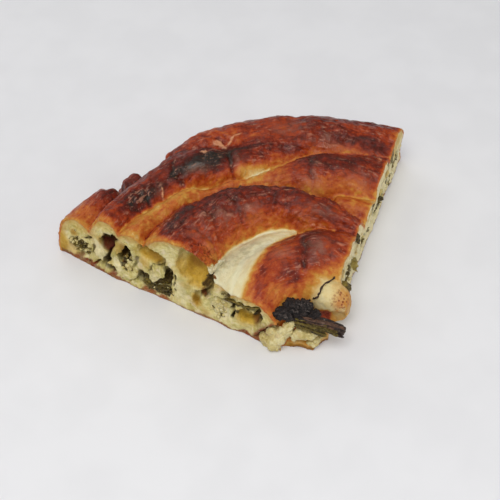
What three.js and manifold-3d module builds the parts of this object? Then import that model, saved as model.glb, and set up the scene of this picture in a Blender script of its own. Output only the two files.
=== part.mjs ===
// A slice of spinach and cheese borek: a knife-cut sector of a large round pastry, coiled from ropes of
// rolled dough. The pastry is one solid whose ropes show as ridges, the filling runs through it as strands
// from cut to cut, and charred spinach and cheese curds spill out at the torn tip.
// Millimetres and degrees. The middle of the round pastry is the centre that radii are measured from, and
// an angle is measured from the slice's middle line (+Y), positive towards the left-hand cut (-X).

import * as THREE from "three";
import { mergeVertices } from "three/addons/utils/BufferGeometryUtils.js";
import Module from "manifold-3d";

const wasm = await Module();
wasm.setup();

// Driving dimensions of the slice
const HALF_ANGLE = 40.5; // from the middle line to each knife cut
const CUT_REACH = 270; // the knife passes well beyond the rim
const ORIGIN_FROM_CENTRE = 93; // the slice's own origin lies this far out on the middle line
const TALLEST = 62; // above every rope
const GAP = 0.3; // between pieces that touch
const OVERRUN = 46; // ropes run on to this angle before they are cut

// Each rope: the angles it runs between, its centre radius, half width and crest height at stations spaced
// evenly along it from left to right, and the height at which its sides turn upright.
const ROPES = {
  rim_tail: {
    from: OVERRUN,
    to: 27.5,
    radius: [158.5, 160, 160],
    half: [16, 15, 14],
    crest: [34.5, 36, 36.5],
    side: [8, 8],
  },
  rim_knob: { from: 27.2, to: 20.2, radius: [157, 157], half: [12, 12], crest: [34, 34], side: [8, 8] },
  rim: {
    from: 17,
    to: -OVERRUN,
    radius: [152, 158.5, 160.5, 160.5, 160, 161, 163],
    half: [16, 16, 16, 16, 16, 16, 17],
    crest: [38, 40, 40, 41.5, 38.5, 38, 34.5],
    side: [8, 8],
  },
  outer: {
    from: OVERRUN,
    to: -OVERRUN,
    radius: [137, 140.5, 141, 149, 153],
    half: [15, 17, 21, 16, 13],
    crest: [47, 45, 47.5, 46, 33],
    side: [14, 14],
  },
  second: {
    from: OVERRUN,
    to: -OVERRUN,
    radius: [121, 122, 114, 117, 126],
    half: [14.5, 11.5, 9, 21, 20],
    crest: [46, 41, 40, 44, 33],
    side: [20, 14, 14, 14, 14],
  },
  second_low: { from: -26, to: -OVERRUN, radius: [99, 100], half: [9, 14], crest: [33, 33], side: [14, 14] },
  third: {
    from: OVERRUN,
    to: -OVERRUN,
    radius: [88, 95, 92, 82, 75],
    half: [25, 24, 19, 15, 9],
    crest: [55, 53, 52, 48, 36],
    side: [30, 18, 18, 18, 18],
  },
  third_low: {
    from: -10,
    to: -OVERRUN,
    radius: [80, 78, 76],
    half: [8, 10, 9],
    crest: [40, 41, 36],
    side: [18, 18],
  },
  valley: {
    from: OVERRUN,
    to: -14,
    radius: [62, 67, 70],
    half: [16, 16, 14],
    crest: [39, 37, 35],
    side: [14, 14],
  },
  centre: {
    from: OVERRUN,
    to: -OVERRUN,
    radius: [42, 49, 49, 51, 52],
    half: [20, 24, 24.5, 22, 18.5],
    crest: [32, 40, 42.5, 43, 37],
    side: [12, 12],
  },
};
const END_ROUNDING = 3; // degrees over which a rope's free end closes
const DEGREES_PER_STEP = 2.7;
const ROPE_SIDES = 20;

// The dough under and between the ropes
const BED = { inner: 15, outer: 150, tongue: 6, height: 28, tongueEnd: 22, fullHeightFrom: 40 };

// Strands of filling, laid out as the ropes are, with the height of their middle and their half height
const STRANDS = {
  filling_rim: {
    from: OVERRUN,
    to: 30.5,
    radius: [158.5, 160],
    half: [11, 8],
    middle: [16, 16],
    rise: [11, 8],
  },
  filling_outer: {
    from: OVERRUN,
    to: -OVERRUN,
    radius: [131, 138, 143, 153, 158],
    half: [9, 11, 12, 13, 12],
    middle: [17, 18, 19, 18, 17],
    rise: [13, 11, 11, 11, 9],
  },
  filling_second: {
    from: OVERRUN,
    to: -OVERRUN,
    radius: [106, 110, 112, 118, 126],
    half: [12, 9, 8, 12, 12],
    middle: [15, 14, 14, 17, 15],
    rise: [12, 9, 9, 11, 9],
  },
  filling_third: {
    from: OVERRUN,
    to: -OVERRUN,
    radius: [70, 79, 83, 84, 86],
    half: [13, 12, 11, 11, 10],
    middle: [13, 16, 17, 16, 14],
    rise: [10, 10, 11, 11, 9],
  },
  filling_centre: {
    from: OVERRUN,
    to: -OVERRUN,
    radius: [43, 46, 47, 49, 54],
    half: [10, 12, 12, 12, 10],
    middle: [19, 18, 17, 17, 16],
    rise: [6, 9, 10, 10, 9],
  },
};
const STRAND_SIDES = 10;
const DEGREES_PER_STRAND_STEP = 5;

// Air pockets open to the left-hand cut: radius, height, half width, half height and depth
const POCKETS = [
  { radius: 131.5, height: 21, half: 8.5, rise: 13.5, depth: 13 },
  { radius: 110.5, height: 31, half: 8.5, rise: 6.5, depth: 13 },
  { radius: 78.5, height: 35, half: 8.5, rise: 12.5, depth: 12 },
  { radius: 43.5, height: 20, half: 8.5, rise: 4.5, depth: 10 },
];

// Pieces at the torn tip: middle, half sizes, and turn about the upright
const TIP_FOLD = { at: [20.5, 26.5, 18.5], half: [10.8, 7.6, 12.5], turn: -35, tilt: 12 };
const CHAR_CLUMP = { at: [-5, 21.5, 29.5], half: [13.5, 6.5, 5.2], turn: -14 };
const CHAR_STEM = { path: [[-3, 17.5, 29.5], [4, 13, 29], [11, 8, 26.5], [17.5, 3.8, 23]], half: [2.2, 3.9] };
const CHAR_THREAD = {
  path: [[3.5, 23.8, 33.4], [8.9, 24.2, 34.2], [14.8, 28.3, 37.4], [21.8, 32.6, 40.8]],
  half: [0.7, 0.7],
};
const CURD_LUMPS = {
  curd_lump_left: { at: [-16, 21.5, 9], half: [7.2, 6, 10], turn: 20, lowest: 0 },
  curd_lump_right: { at: [0.5, 16.5, 13], half: [9, 5.2, 6], turn: -20, lowest: 6.5 },
};
// Spinach scraps that stick out of the right-hand cut: middle, size and turns
const LEAF_SCRAPS = {
  leaf_scrap_upper: { at: [46.6, 53.6, 34], width: 7, length: 9, turn: 50, tilt: 60 },
  leaf_scrap_middle: { at: [41.6, 45.8, 22], width: 8, length: 10, turn: 40, tilt: 60 },
  leaf_scrap_lower: { at: [30.2, 30, 24], width: 7, length: 9, turn: 35, tilt: 40 },
};
const LEAF_THICKNESS = 0.9;

const FINISH = {
  pastry: { color: 0x9c5527, roughness: 0.5 },
  filling: { color: 0xb8b27c, roughness: 0.8 },
  curd: { color: 0xd9d2a2, roughness: 0.75 },
  charred: { color: 0x1f1a18, roughness: 0.85 },
  leaf: { color: 0x47501f, roughness: 0.7 },
};

// A seeded generator, so that every build draws the same relief
function seededRandom(seed) {
  let state = seed;
  return () => {
    state = (Math.imul(state, 1664525) + 1013904223) >>> 0;
    return state / 4294967296;
  };
}

// A smooth uneven field between about -1 and 1, from a few plane waves of the given wavelengths
function unevenField(seed, shortest, longest, waves = 7) {
  const random = seededRandom(seed);
  const parts = Array.from({ length: waves }, () => {
    const direction = new THREE.Vector3(random() - 0.5, random() - 0.5, random() - 0.5).normalize();
    const wavelength = shortest + (longest - shortest) * random();
    return { direction: direction.multiplyScalar((2 * Math.PI) / wavelength), phase: random() * 2 * Math.PI };
  });
  const sum = (point) => parts.reduce((total, w) => total + Math.sin(point.dot(w.direction) + w.phase), 0);
  return (point) => sum(point) / Math.sqrt(waves);
}

// The value at t (0 to 1) of a smooth line through evenly spaced stations
function along(stations, t) {
  const last = stations.length - 1;
  const s = THREE.MathUtils.clamp(t, 0, 1) * last;
  const i = Math.min(Math.floor(s), last - 1);
  const f = s - i;
  const before = i > 0 ? stations[i - 1] : 2 * stations[0] - stations[1];
  const after = i + 2 <= last ? stations[i + 2] : 2 * stations[last] - stations[last - 1];
  const [p, q] = [stations[i], stations[i + 1]];
  const bend = (2 * before - 5 * p + 4 * q - after) * f * f + (3 * p - before - 3 * q + after) * f ** 3;
  return p + 0.5 * ((q - before) * f + bend);
}

// The point at a radius from the pastry's middle, an angle from the middle line, and a height
function polar(radius, angle, height) {
  const a = THREE.MathUtils.degToRad(angle);
  return new THREE.Vector3(-radius * Math.sin(a), radius * Math.cos(a), height);
}

// Moves every vertex of a geometry by a function from its old place to its new one
function reshape(geometry, place) {
  const position = geometry.getAttribute("position");
  const v = new THREE.Vector3();
  for (let i = 0; i < position.count; i++) {
    const moved = place(v.fromBufferAttribute(position, i).clone());
    position.setXYZ(i, moved.x, moved.y, moved.z);
  }
  return geometry;
}

// A closed geometry as a solid
function solidFrom(geometry) {
  geometry.deleteAttribute("normal");
  geometry.deleteAttribute("uv");
  const merged = mergeVertices(geometry, 1e-3);
  const mesh = new wasm.Mesh({
    numProp: 3,
    vertProperties: new Float32Array(merged.getAttribute("position").array),
    triVerts: new Uint32Array(merged.index.array),
  });
  return new wasm.Manifold(mesh);
}

function largestBody(solid) {
  return solid.decompose().sort((a, b) => b.volume() - a.volume())[0];
}

function meshFrom(solid, name, finish) {
  const { vertProperties, triVerts, numProp } = solid.getMesh();
  const position = new Float32Array((vertProperties.length / numProp) * 3);
  for (let i = 0; i < position.length / 3; i++) {
    const from = i * numProp;
    position.set(vertProperties.subarray(from, from + 3), i * 3);
  }
  const geometry = new THREE.BufferGeometry();
  geometry.setAttribute("position", new THREE.BufferAttribute(position, 3));
  geometry.setIndex(new THREE.BufferAttribute(new Uint32Array(triVerts), 1));
  geometry.computeVertexNormals();
  const mesh = new THREE.Mesh(geometry, new THREE.MeshStandardMaterial({ metalness: 0, ...finish }));
  mesh.name = name;
  return mesh;
}

// How far a rope's section is drawn in towards a free end: 1 along its run, near 0 at the end itself
function endClosing(rope, angle) {
  const beyondLeft = rope.from < OVERRUN ? angle - (rope.from - END_ROUNDING) : 0;
  const beyondRight = rope.to > -OVERRUN ? rope.to + END_ROUNDING - angle : 0;
  const over = Math.max(beyondLeft, beyondRight, 0) / END_ROUNDING;
  return Math.sqrt(Math.max(1 - over * over, 0.03));
}

// A rope of rolled dough: an arch above the height of its upright sides, and nearly square below it
const crumple = unevenField(11, 16, 44);
const pleats = unevenField(23, 9, 17);
const CRUMPLE_DEPTH = 0.9;
const PLEAT_DEPTH = 0.55;
function ropeSolid(rope) {
  const steps = Math.max(4, Math.round((rope.from - rope.to) / DEGREES_PER_STEP));
  const tube = new THREE.CylinderGeometry(1, 1, 1, ROPE_SIDES, steps);
  return solidFrom(
    reshape(tube, ({ x, y, z }) => {
      const t = y + 0.5;
      const angle = THREE.MathUtils.lerp(rope.from, rope.to, t);
      const closing = endClosing(rope, angle);
      const radius = along(rope.radius, t);
      const fullHalf = along(rope.half, t);
      const half = fullHalf * closing;
      const side = along(rope.side, t);
      if (z >= 0) {
        const arch = (along(rope.crest, t) - side) * closing;
        const smooth = polar(radius - x * half, angle, side + z * arch);
        const swell = 1 + (z * (CRUMPLE_DEPTH * crumple(smooth) + PLEAT_DEPTH * pleats(smooth))) / fullHalf;
        return polar(radius - x * half * swell, angle, side + z * arch * swell);
      }
      const flank = Math.sign(x) * (1 - z ** 4) ** 0.25;
      return polar(radius - flank * half, angle, side + z * (side + 2));
    }),
  );
}

// The dough bed: a sector whose thin tongue runs out past the tip
function bedSolid() {
  const box = new THREE.BoxGeometry(1, 1, 1, 14, 16, 1);
  return solidFrom(
    reshape(box, ({ x, y, z }) => {
      const angle = -x * 2 * OVERRUN;
      const raggedInner = BED.inner + 3.5 * Math.sin(angle / 5.5 + 1.2) + (angle > 0 ? angle * 0.14 : 0);
      const outward = (y + 0.5) ** 1.6;
      const radius = THREE.MathUtils.lerp(raggedInner, BED.outer, outward);
      const rising = THREE.MathUtils.smoothstep(radius, BED.tongueEnd, BED.fullHeightFrom);
      return polar(radius, angle, z < 0 ? -2 : THREE.MathUtils.lerp(BED.tongue, BED.height, rising));
    }),
  );
}

// What the two knife cuts and the baking tray leave: a sector with slightly wavy sides and a flat base
// The base crust bows out a little past the left-hand cut.
const KNIFE_WANDER = 0.55;
const BASE_BOW = { reach: 2.4, radius: 128, spread: 42, height: 13 };
function knifeSolid(seed, halfAngle) {
  const wander = unevenField(seed, 9, 30);
  const box = new THREE.BoxGeometry(1, 1, 1, 1, 26, 9);
  return solidFrom(
    reshape(box, ({ x, y, z }) => {
      const radius = 4 + (y + 0.5) * (CUT_REACH - 4);
      const height = (z + 0.5) * TALLEST;
      const smooth = polar(radius, -x * 2 * halfAngle, height);
      const low = Math.max(0, 1 - height / BASE_BOW.height);
      const near = Math.exp(-(((radius - BASE_BOW.radius) / BASE_BOW.spread) ** 2));
      const bow = x < 0 ? BASE_BOW.reach * low * near : 0;
      const sideways = KNIFE_WANDER * wander(smooth) - bow;
      const a = THREE.MathUtils.degToRad(-x * 2 * halfAngle);
      return smooth.add(new THREE.Vector3(Math.cos(a), Math.sin(a), 0).multiplyScalar(sideways));
    }),
  );
}

// A strand of filling, or with a clearance the tunnel that it lies in
const lumps = unevenField(37, 10, 22);
const LUMP_HEIGHT = 0.9;
function strandSolid(strand, clearance = 0) {
  const steps = Math.max(4, Math.round((strand.from - strand.to) / DEGREES_PER_STRAND_STEP));
  const tube = new THREE.CylinderGeometry(1, 1, 1, STRAND_SIDES, steps);
  const reach = strand.to > -OVERRUN ? clearance / 2 : 0;
  return solidFrom(
    reshape(tube, ({ x, y, z }) => {
      const t = y + 0.5;
      const angle = THREE.MathUtils.lerp(strand.from, strand.to - reach, t);
      const [half, rise] = [along(strand.half, t), along(strand.rise, t)];
      const middle = along(strand.middle, t);
      const radius = along(strand.radius, t);
      const place = (grow) => polar(radius - x * (half + grow), angle, middle + z * (rise + grow));
      return place(LUMP_HEIGHT * lumps(place(0)) + clearance);
    }),
  );
}

// An uneven egg-shaped piece with its own half sizes, turned about the upright
function lumpSolid({ at, half, turn = 0, tilt = 0 }, { seed, bump, grow = 0, detail = 3, finest = 5 }) {
  const field = unevenField(seed, finest, finest * 2.2);
  const turned = new THREE.Euler(THREE.MathUtils.degToRad(tilt), 0, THREE.MathUtils.degToRad(turn), "ZXY");
  return solidFrom(
    reshape(new THREE.IcosahedronGeometry(1, detail), (v) => {
      const out = v.clone().normalize();
      const size = new THREE.Vector3(...half);
      const surface = out.clone().multiply(size);
      const reach = 1 + (bump * field(surface)) / Math.min(...half);
      const grown = surface.multiplyScalar(reach).addScaledVector(out, grow);
      return grown.applyEuler(turned).add(new THREE.Vector3(...at));
    }),
  );
}

function pocketSolid({ radius, height, half, rise, depth }) {
  const middle = polar(radius, HALF_ANGLE, height);
  const ball = new THREE.SphereGeometry(1, 14, 10);
  const [outward, across] = [polar(1, HALF_ANGLE, 0), polar(1, HALF_ANGLE + 90, 0)];
  return solidFrom(
    reshape(ball, ({ x, y, z }) => {
      const place = middle.clone().addScaledVector(outward, x * half).addScaledVector(across, y * depth);
      return place.setZ(height + z * rise);
    }),
  );
}

// A stem or thread: an oval section drawn along a curve, with closed ends
function stalkSolid({ path, half: [wide, thick] }, grow = 0) {
  const curve = new THREE.CatmullRomCurve3(path.map((p) => new THREE.Vector3(...p)));
  const section = new THREE.Shape();
  section.absellipse(0, 0, wide + grow, thick + grow, 0, 2 * Math.PI, false, 0);
  const options = { steps: 9, curveSegments: 4, extrudePath: curve, bevelEnabled: false };
  return solidFrom(new THREE.ExtrudeGeometry(section, options));
}

// A thin wavy leaf, both of its faces split into triangles alike
function leafSolid({ at, width, length, turn, tilt }, grow = 0) {
  const [columns, rows] = [4, 5];
  const position = [];
  const index = [];
  const ripple = unevenField(at[0] * 10, 4, 9);
  const turned = new THREE.Euler(THREE.MathUtils.degToRad(tilt), 0, THREE.MathUtils.degToRad(turn), "ZXY");
  for (const side of [1, -1])
    for (let j = 0; j <= rows; j++)
      for (let i = 0; i <= columns; i++) {
        const v = j / rows - 0.5;
        const outline = Math.sqrt(1.06 - 4 * v * v);
        const across = (i / columns - 0.5) * (width + 2 * grow) * outline;
        const flat = new THREE.Vector3(across, v * (length + 2 * grow), 0);
        flat.z = 0.8 * ripple(flat) + side * (LEAF_THICKNESS / 2 + grow);
        position.push(...flat.applyEuler(turned).add(new THREE.Vector3(...at)).toArray());
      }
  const sheet = (columns + 1) * (rows + 1);
  const quad = (a, b, c, d) => index.push(a, b, c, a, c, d);
  for (let j = 0; j < rows; j++)
    for (let i = 0; i < columns; i++) {
      const a = j * (columns + 1) + i;
      const [b, c, d] = [a + 1, a + columns + 2, a + columns + 1];
      quad(a, b, c, d);
      index.push(a + sheet, c + sheet, b + sheet, a + sheet, d + sheet, c + sheet);
    }
  const border = [];
  for (let i = 0; i < columns; i++) border.push(i);
  for (let j = 0; j < rows; j++) border.push(j * (columns + 1) + columns);
  for (let i = columns; i > 0; i--) border.push(rows * (columns + 1) + i);
  for (let j = rows; j > 0; j--) border.push(j * (columns + 1));
  border.forEach((a, k) => {
    const b = border[(k + 1) % border.length];
    quad(a, a + sheet, b + sheet, b);
  });
  const geometry = new THREE.BufferGeometry();
  geometry.setAttribute("position", new THREE.Float32BufferAttribute(position, 3));
  geometry.setIndex(index);
  return solidFrom(geometry);
}

// Everything below a height, to take away from a piece that rests there
function below(height) {
  const slab = new THREE.BoxGeometry(600, 600, 100).translate(0, 0, height - 50);
  return solidFrom(slab);
}

const CHAR_RELIEF = { seed: 5, bump: 1.1, finest: 5 };
const CURD_RELIEF = { seed: 8, bump: 0.9, finest: 5, detail: 3 };

function charredSpinach(grow = 0) {
  return lumpSolid(CHAR_CLUMP, { ...CHAR_RELIEF, grow }).add(stalkSolid(CHAR_STEM, grow));
}

function curdLump(lump, grow = 0) {
  return lumpSolid(lump, { ...CURD_RELIEF, grow }).subtract(below(lump.lowest - grow));
}

// The pastry: ropes and bed joined, cut by the knife, with the fold at the tip, then hollowed for the filling
function pastrySolid(seats) {
  const dough = Object.values(ROPES).map(ropeSolid).reduce((a, b) => a.add(b), bedSolid());
  const fold = lumpSolid(TIP_FOLD, { seed: 4, bump: 0.8, finest: 9, detail: 3 });
  const slice = dough.intersect(knifeSolid(3, HALF_ANGLE)).add(fold).subtract(below(0));
  const tunnels = Object.values(STRANDS).map((strand) => strandSolid(strand, GAP));
  const hollows = [...tunnels, ...POCKETS.map(pocketSolid), ...seats];
  return largestBody(hollows.reduce((a, b) => a.subtract(b), slice));
}

function strandPiece(strand) {
  const cut = strandSolid(strand).intersect(knifeSolid(17, HALF_ANGLE - 0.15));
  return largestBody(POCKETS.map(pocketSolid).reduce((a, b) => a.subtract(b), cut));
}

const slice = new THREE.Group();
const charred = charredSpinach();
const charredRoom = charredSpinach(GAP);
const thread = stalkSolid(CHAR_THREAD).subtract(charredRoom);
const curds = Object.entries(CURD_LUMPS).map(([name, lump]) => [name, curdLump(lump), curdLump(lump, GAP)]);
const leaves = Object.entries(LEAF_SCRAPS).map(([name, leaf]) => {
  return [name, leafSolid(leaf), leafSolid(leaf, GAP)];
});
const roomOf = ([, , room]) => room;
const seats = [charredRoom, stalkSolid(CHAR_THREAD, GAP), ...curds.map(roomOf), ...leaves.map(roomOf)];

slice.add(meshFrom(pastrySolid(seats), "pastry", FINISH.pastry));
for (const [name, strand] of Object.entries(STRANDS)) {
  const piece = seats.reduce((a, b) => a.subtract(b), strandPiece(strand));
  slice.add(meshFrom(largestBody(piece), name, FINISH.filling));
}
slice.add(meshFrom(charred, "charred_spinach", FINISH.charred));
slice.add(meshFrom(largestBody(thread), "charred_thread", FINISH.charred));
for (const [name, solid, room] of curds) {
  const clear = solid.subtract(charredRoom);
  const piece = name === "curd_lump_right" ? clear.subtract(curds[0][2]) : clear;
  slice.add(meshFrom(largestBody(piece), name, FINISH.curd));
}
for (const [name, solid] of leaves) slice.add(meshFrom(solid, name, FINISH.leaf));
slice.position.set(0, -ORIGIN_FROM_CENTRE, 0);

export default slice;
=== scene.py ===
"""A slice of spinach and cheese borek: browned ropes of dough, two cut sides and a torn tip."""

import functools
import math

import bmesh
import bpy
import numpy as np
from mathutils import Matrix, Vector


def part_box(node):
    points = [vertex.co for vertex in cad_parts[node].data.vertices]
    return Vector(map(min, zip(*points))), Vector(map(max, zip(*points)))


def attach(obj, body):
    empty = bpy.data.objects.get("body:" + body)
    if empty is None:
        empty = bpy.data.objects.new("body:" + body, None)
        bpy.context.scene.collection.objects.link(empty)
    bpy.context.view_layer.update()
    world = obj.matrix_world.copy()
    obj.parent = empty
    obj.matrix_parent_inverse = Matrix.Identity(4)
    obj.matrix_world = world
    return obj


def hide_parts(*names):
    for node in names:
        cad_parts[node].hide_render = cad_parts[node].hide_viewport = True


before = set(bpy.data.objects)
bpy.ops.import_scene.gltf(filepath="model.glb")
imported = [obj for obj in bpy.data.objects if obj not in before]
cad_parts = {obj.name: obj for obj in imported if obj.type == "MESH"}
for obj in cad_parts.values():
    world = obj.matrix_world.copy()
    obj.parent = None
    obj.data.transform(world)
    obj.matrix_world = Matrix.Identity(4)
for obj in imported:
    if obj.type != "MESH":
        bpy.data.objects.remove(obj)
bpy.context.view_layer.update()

# Millimetres and degrees. Radii are measured from the middle of the round pastry and angles from the slice's
# middle line (+Y), positive towards the left-hand cut. Places are (across, along, up) from that middle.
MM = 0.001
ORIGIN_FROM_CENTRE = 93
# The angle of each knife cut, and the angle to which everything runs before it is cut
HALF_ANGLE = 40.5
OVERRUN = 46
LEFT, RIGHT = 1, -1
GRID_STEP = 0.72
PASTRY_TRIANGLES = 196000

# The ropes of rolled dough, as in the solids: the angles each runs between, then its centre radius, half
# width, crest height and the height of its upright sides at stations spaced evenly along it from left to
# right. The next three rows say how far each is baked, from 0 for raw dough to 1 for burnt: on the flank that
# faces the tip, along the crest, and on the flank that faces the rim. The last says how much its crust is
# wrinkled.
ROPES = {
    "rim_tail": dict(
        ends=(OVERRUN, 27.5), radius=[158.5, 160, 160], half=[18, 16, 14], crest=[34.5, 36, 36.5],
        side=[4, 7], near=[0.45, 0.5, 0.72], top=[0.47, 0.52, 0.74], far=[0.5, 0.5, 0.6], wrinkled=0.5,
    ),
    "rim_knob": dict(
        ends=(27.2, 20.2), radius=[157, 157], half=[12, 12], crest=[34, 34], side=[8, 8], near=[0.75, 0.75],
        top=[0.8, 0.8], far=[0.6, 0.6], wrinkled=0.6,
    ),
    "rim": dict(
        ends=(15, -OVERRUN), radius=[153, 157, 158, 159.5, 160, 161, 163],
        half=[15, 18, 19, 17.5, 16, 16, 16], crest=[39, 42.5, 42.5, 42, 38.5, 37, 34], side=[8, 8],
        near=[0.5, 0.5, 0.6, 0.66, 0.7, 0.7, 0.64], top=[0.58, 0.58, 0.66, 0.7, 0.72, 0.7, 0.64],
        far=[0.62, 0.64, 0.66, 0.66, 0.66, 0.64, 0.6], wrinkled=0.5,
    ),
    "outer": dict(
        ends=(OVERRUN, -OVERRUN), radius=[137, 139, 140.5, 141, 136, 142, 150, 154.5, 159],
        half=[15, 15.8, 17, 19, 16, 16, 16, 15, 14], crest=[47, 45.5, 45, 47.5, 42.5, 42, 43, 39.5, 33.5],
        side=[14, 14], near=[0.48, 0.46, 0.44, 0.46, 0.5, 0.5, 0.5, 0.5, 0.5],
        top=[0.62, 0.68, 0.74, 0.76, 0.72, 0.7, 0.7, 0.68, 0.62],
        far=[0.62, 0.66, 0.72, 0.7, 0.58, 0.64, 0.7, 0.7, 0.62], wrinkled=0.85,
    ),
    "second": dict(
        ends=(OVERRUN, -OVERRUN), radius=[121, 122, 114, 119, 129], half=[14.5, 11.5, 9, 20, 20],
        crest=[46, 41, 40, 45.5, 38], side=[20, 14, 14, 14, 14], near=[0.47, 0.42, 0.36, 0.52, 0.5],
        top=[0.47, 0.43, 0.4, 0.76, 0.64], far=[0.4, 0.3, 0.3, 0.74, 0.62], wrinkled=0.6,
    ),
    "second_low": dict(
        ends=(-26, -OVERRUN), radius=[99, 100], half=[9, 14], crest=[33, 33], side=[14, 14],
        near=[0.44, 0.38], top=[0.54, 0.48], far=[0.5, 0.5], wrinkled=0.4,
    ),
    "third": dict(
        ends=(OVERRUN, -OVERRUN), radius=[86.5, 95, 92, 82, 75], half=[27, 24, 19, 15, 9],
        crest=[55, 53, 52, 48, 36], side=[30, 18, 18, 18, 18], near=[0.42, 0.42, 0.44, 0.45, 0.5],
        top=[0.66, 0.72, 0.74, 0.76, 0.62], far=[0.55, 0.62, 0.72, 0.74, 0.6], wrinkled=1.1,
    ),
    "third_low": dict(
        ends=(-10, -OVERRUN), radius=[80, 78, 76], half=[8, 10, 9], crest=[40, 41, 36], side=[18, 18],
        near=[0.35, 0.4, 0.5], top=[0.55, 0.58, 0.6], far=[0.7, 0.7, 0.6], wrinkled=0.6,
    ),
    "valley": dict(
        ends=(OVERRUN, -14), radius=[64.5, 67, 70], half=[13, 16, 14], crest=[38, 37, 35], side=[14, 14],
        near=[0.06, 0.06], top=[0.06, 0.06], far=[0.1, 0.1], wrinkled=0.12,
    ),
    "centre": dict(
        ends=(OVERRUN, -OVERRUN), radius=[42, 49, 49.5, 54, 57], half=[20, 24, 24.5, 23.5, 21.5],
        crest=[32, 40, 43, 46.5, 41], side=[12, 12], near=[0.42, 0.4, 0.36, 0.26, 0.3],
        top=[0.56, 0.66, 0.69, 0.7, 0.5], far=[0.3, 0.5, 0.7, 0.74, 0.55], wrinkled=0.4,
    ),
}
# The ends of the ropes, in degrees: how long their rounding is, and how far they wander up and down
END_ROUNDING = 3
END_WANDER = 0.6
# How far open a rope's end stays at the least, as the square of a share of its width
LEAST_OPENING = 0.03
# How softly the ropes run into each other, and over how many mm their colours do
ROPE_FILLET = 0.6
ROPE_BLUR = 0.7
# Right of these angles the outer rope and the rim run together in one broad band
RIM_MERGE = {"angles": (7, -8), "fillet": 4.0}
# How deep the relief goes that the crust shares with the solids
CRUMPLE_DEPTH = 0.4
PLEAT_DEPTH = 0.1

# Patches of the crust that the oven caught more or less: angle, radius, half sizes in degrees and mm, and how
# much they add to the baking
SCORCHES = {
    "burnt_band": (8, 136, 8, 4.4, 0.37),
    "burnt_tail": (-2, 139.5, 4, 3.4, 0.16),
    "left_shade": (28, 134, 7, 5, 0.17),
    "outer_dark_spot": (-15.2, 137, 3, 4, 0.1),
    "third_ridge": (30, 102, 12, 5, 0.22),
    "third_middle": (0, 96, 16, 6, 0.08),
    "second_shade": (8, 106, 9, 5, 0.22),
    "second_crest": (-19, 123, 12, 6, 0.08),
    "tail_crest": (31, 160, 3, 5, 0.17),
    "centre_heart": (-22, 48, 11, 8, 0.06),
    "centre_back": (-20, 60, 8, 6, 0.05),
    "centre_paler": (22, 38, 16, 5, -0.06),
    "centre_orange": (2, 54, 8, 8, -0.08),
    "rim_left": (11, 157, 5, 7, 0.1),
    "outer_right_end": (-36, 146, 7, 6, 0.2),
    "outer_back": (0, 143, 6, 4, 0.14),
    "outer_left": (32, 140, 4, 4, 0.06),
    "outer_right": (-20, 148, 6, 5, 0.05),
    "rim_right": (-25, 160, 8, 5, 0.05),
    "second_left_paler": (20, 120, 5, 4, -0.05),
    "second_far_left": (35, 120, 5, 4, -0.04),
    "second_right_paler": (-32, 120, 5, 4, -0.05),
    "third_facet_paler": (20, 97, 3, 3, -0.07),
    "tail_middle_paler": (36, 160, 3, 5, -0.05),
    "second_back": (10, 117, 6, 4, 0.15),
    "second_low_paler": (-20, 105, 4, 4, -0.12),
    "third_right_end": (-31, 82, 6, 5, -0.04),
    "centre_low": (0, 35, 8, 5, 0.1),
    "rim_right_end": (-38, 158, 6, 6, -0.12),
    "third_left_paler": (38, 107, 6, 5, -0.19),
    "second_right_low": (-28, 110, 8, 4, -0.18),
    "low_orange": (-37, 104, 6, 7, -0.08),
    "golden_patch": (-6, 122, 4.6, 5, -0.36),
    "golden_patch_left": (-1.5, 126, 4, 2.6, -0.24),
    "golden_fan": (12.5, 124.5, 3.2, 3, -0.22),
    "golden_shoulder": (29, 125, 9, 3.2, -0.16),
    "golden_line": (-28, 133, 10, 2.2, -0.16),
}

# Patches where the thin outer skin has lifted a little and is painted paler and rosier as a painted sheen:
# angle, radius, half sizes
SHEEN_BLISTERS = {
    "groove_flank": (0.3, 130.5, 1.6, 4.2),
    "burnt_sheen": (11.5, 132, 3.2, 2.4),
    "hook": (23, 132, 1.3, 2.2),
    "rim_mottle": (-15, 151, 3.6, 6),
    "rim_streak": (-24, 143.5, 1.6, 3.5),
    "outer_low_band": (-27, 141, 7, 2.6),
    "second_stroke": (-20.8, 110.5, 1.2, 5),
    "second_sheen": (-34.5, 113, 4, 4.4),
    "third_facet": (17.5, 86, 4.6, 4.4),
    "third_petal": (30.5, 86, 3, 4.4),
    "third_petal_low": (31, 78, 2.2, 3),
    "second_low_sheen": (-20, 105, 4, 4),
    "third_facet_left": (24, 90, 2.4, 4),
    "third_drop": (28.4, 81.3, 1.7, 2.6),
    "third_facet_right": (6, 84, 4, 4),
    "low_sheen": (-20, 77, 7, 3.2),
    "centre_sheen": (-21, 50, 7.5, 7),
    "centre_sheen_left": (2, 52, 7, 5),
}
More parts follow.
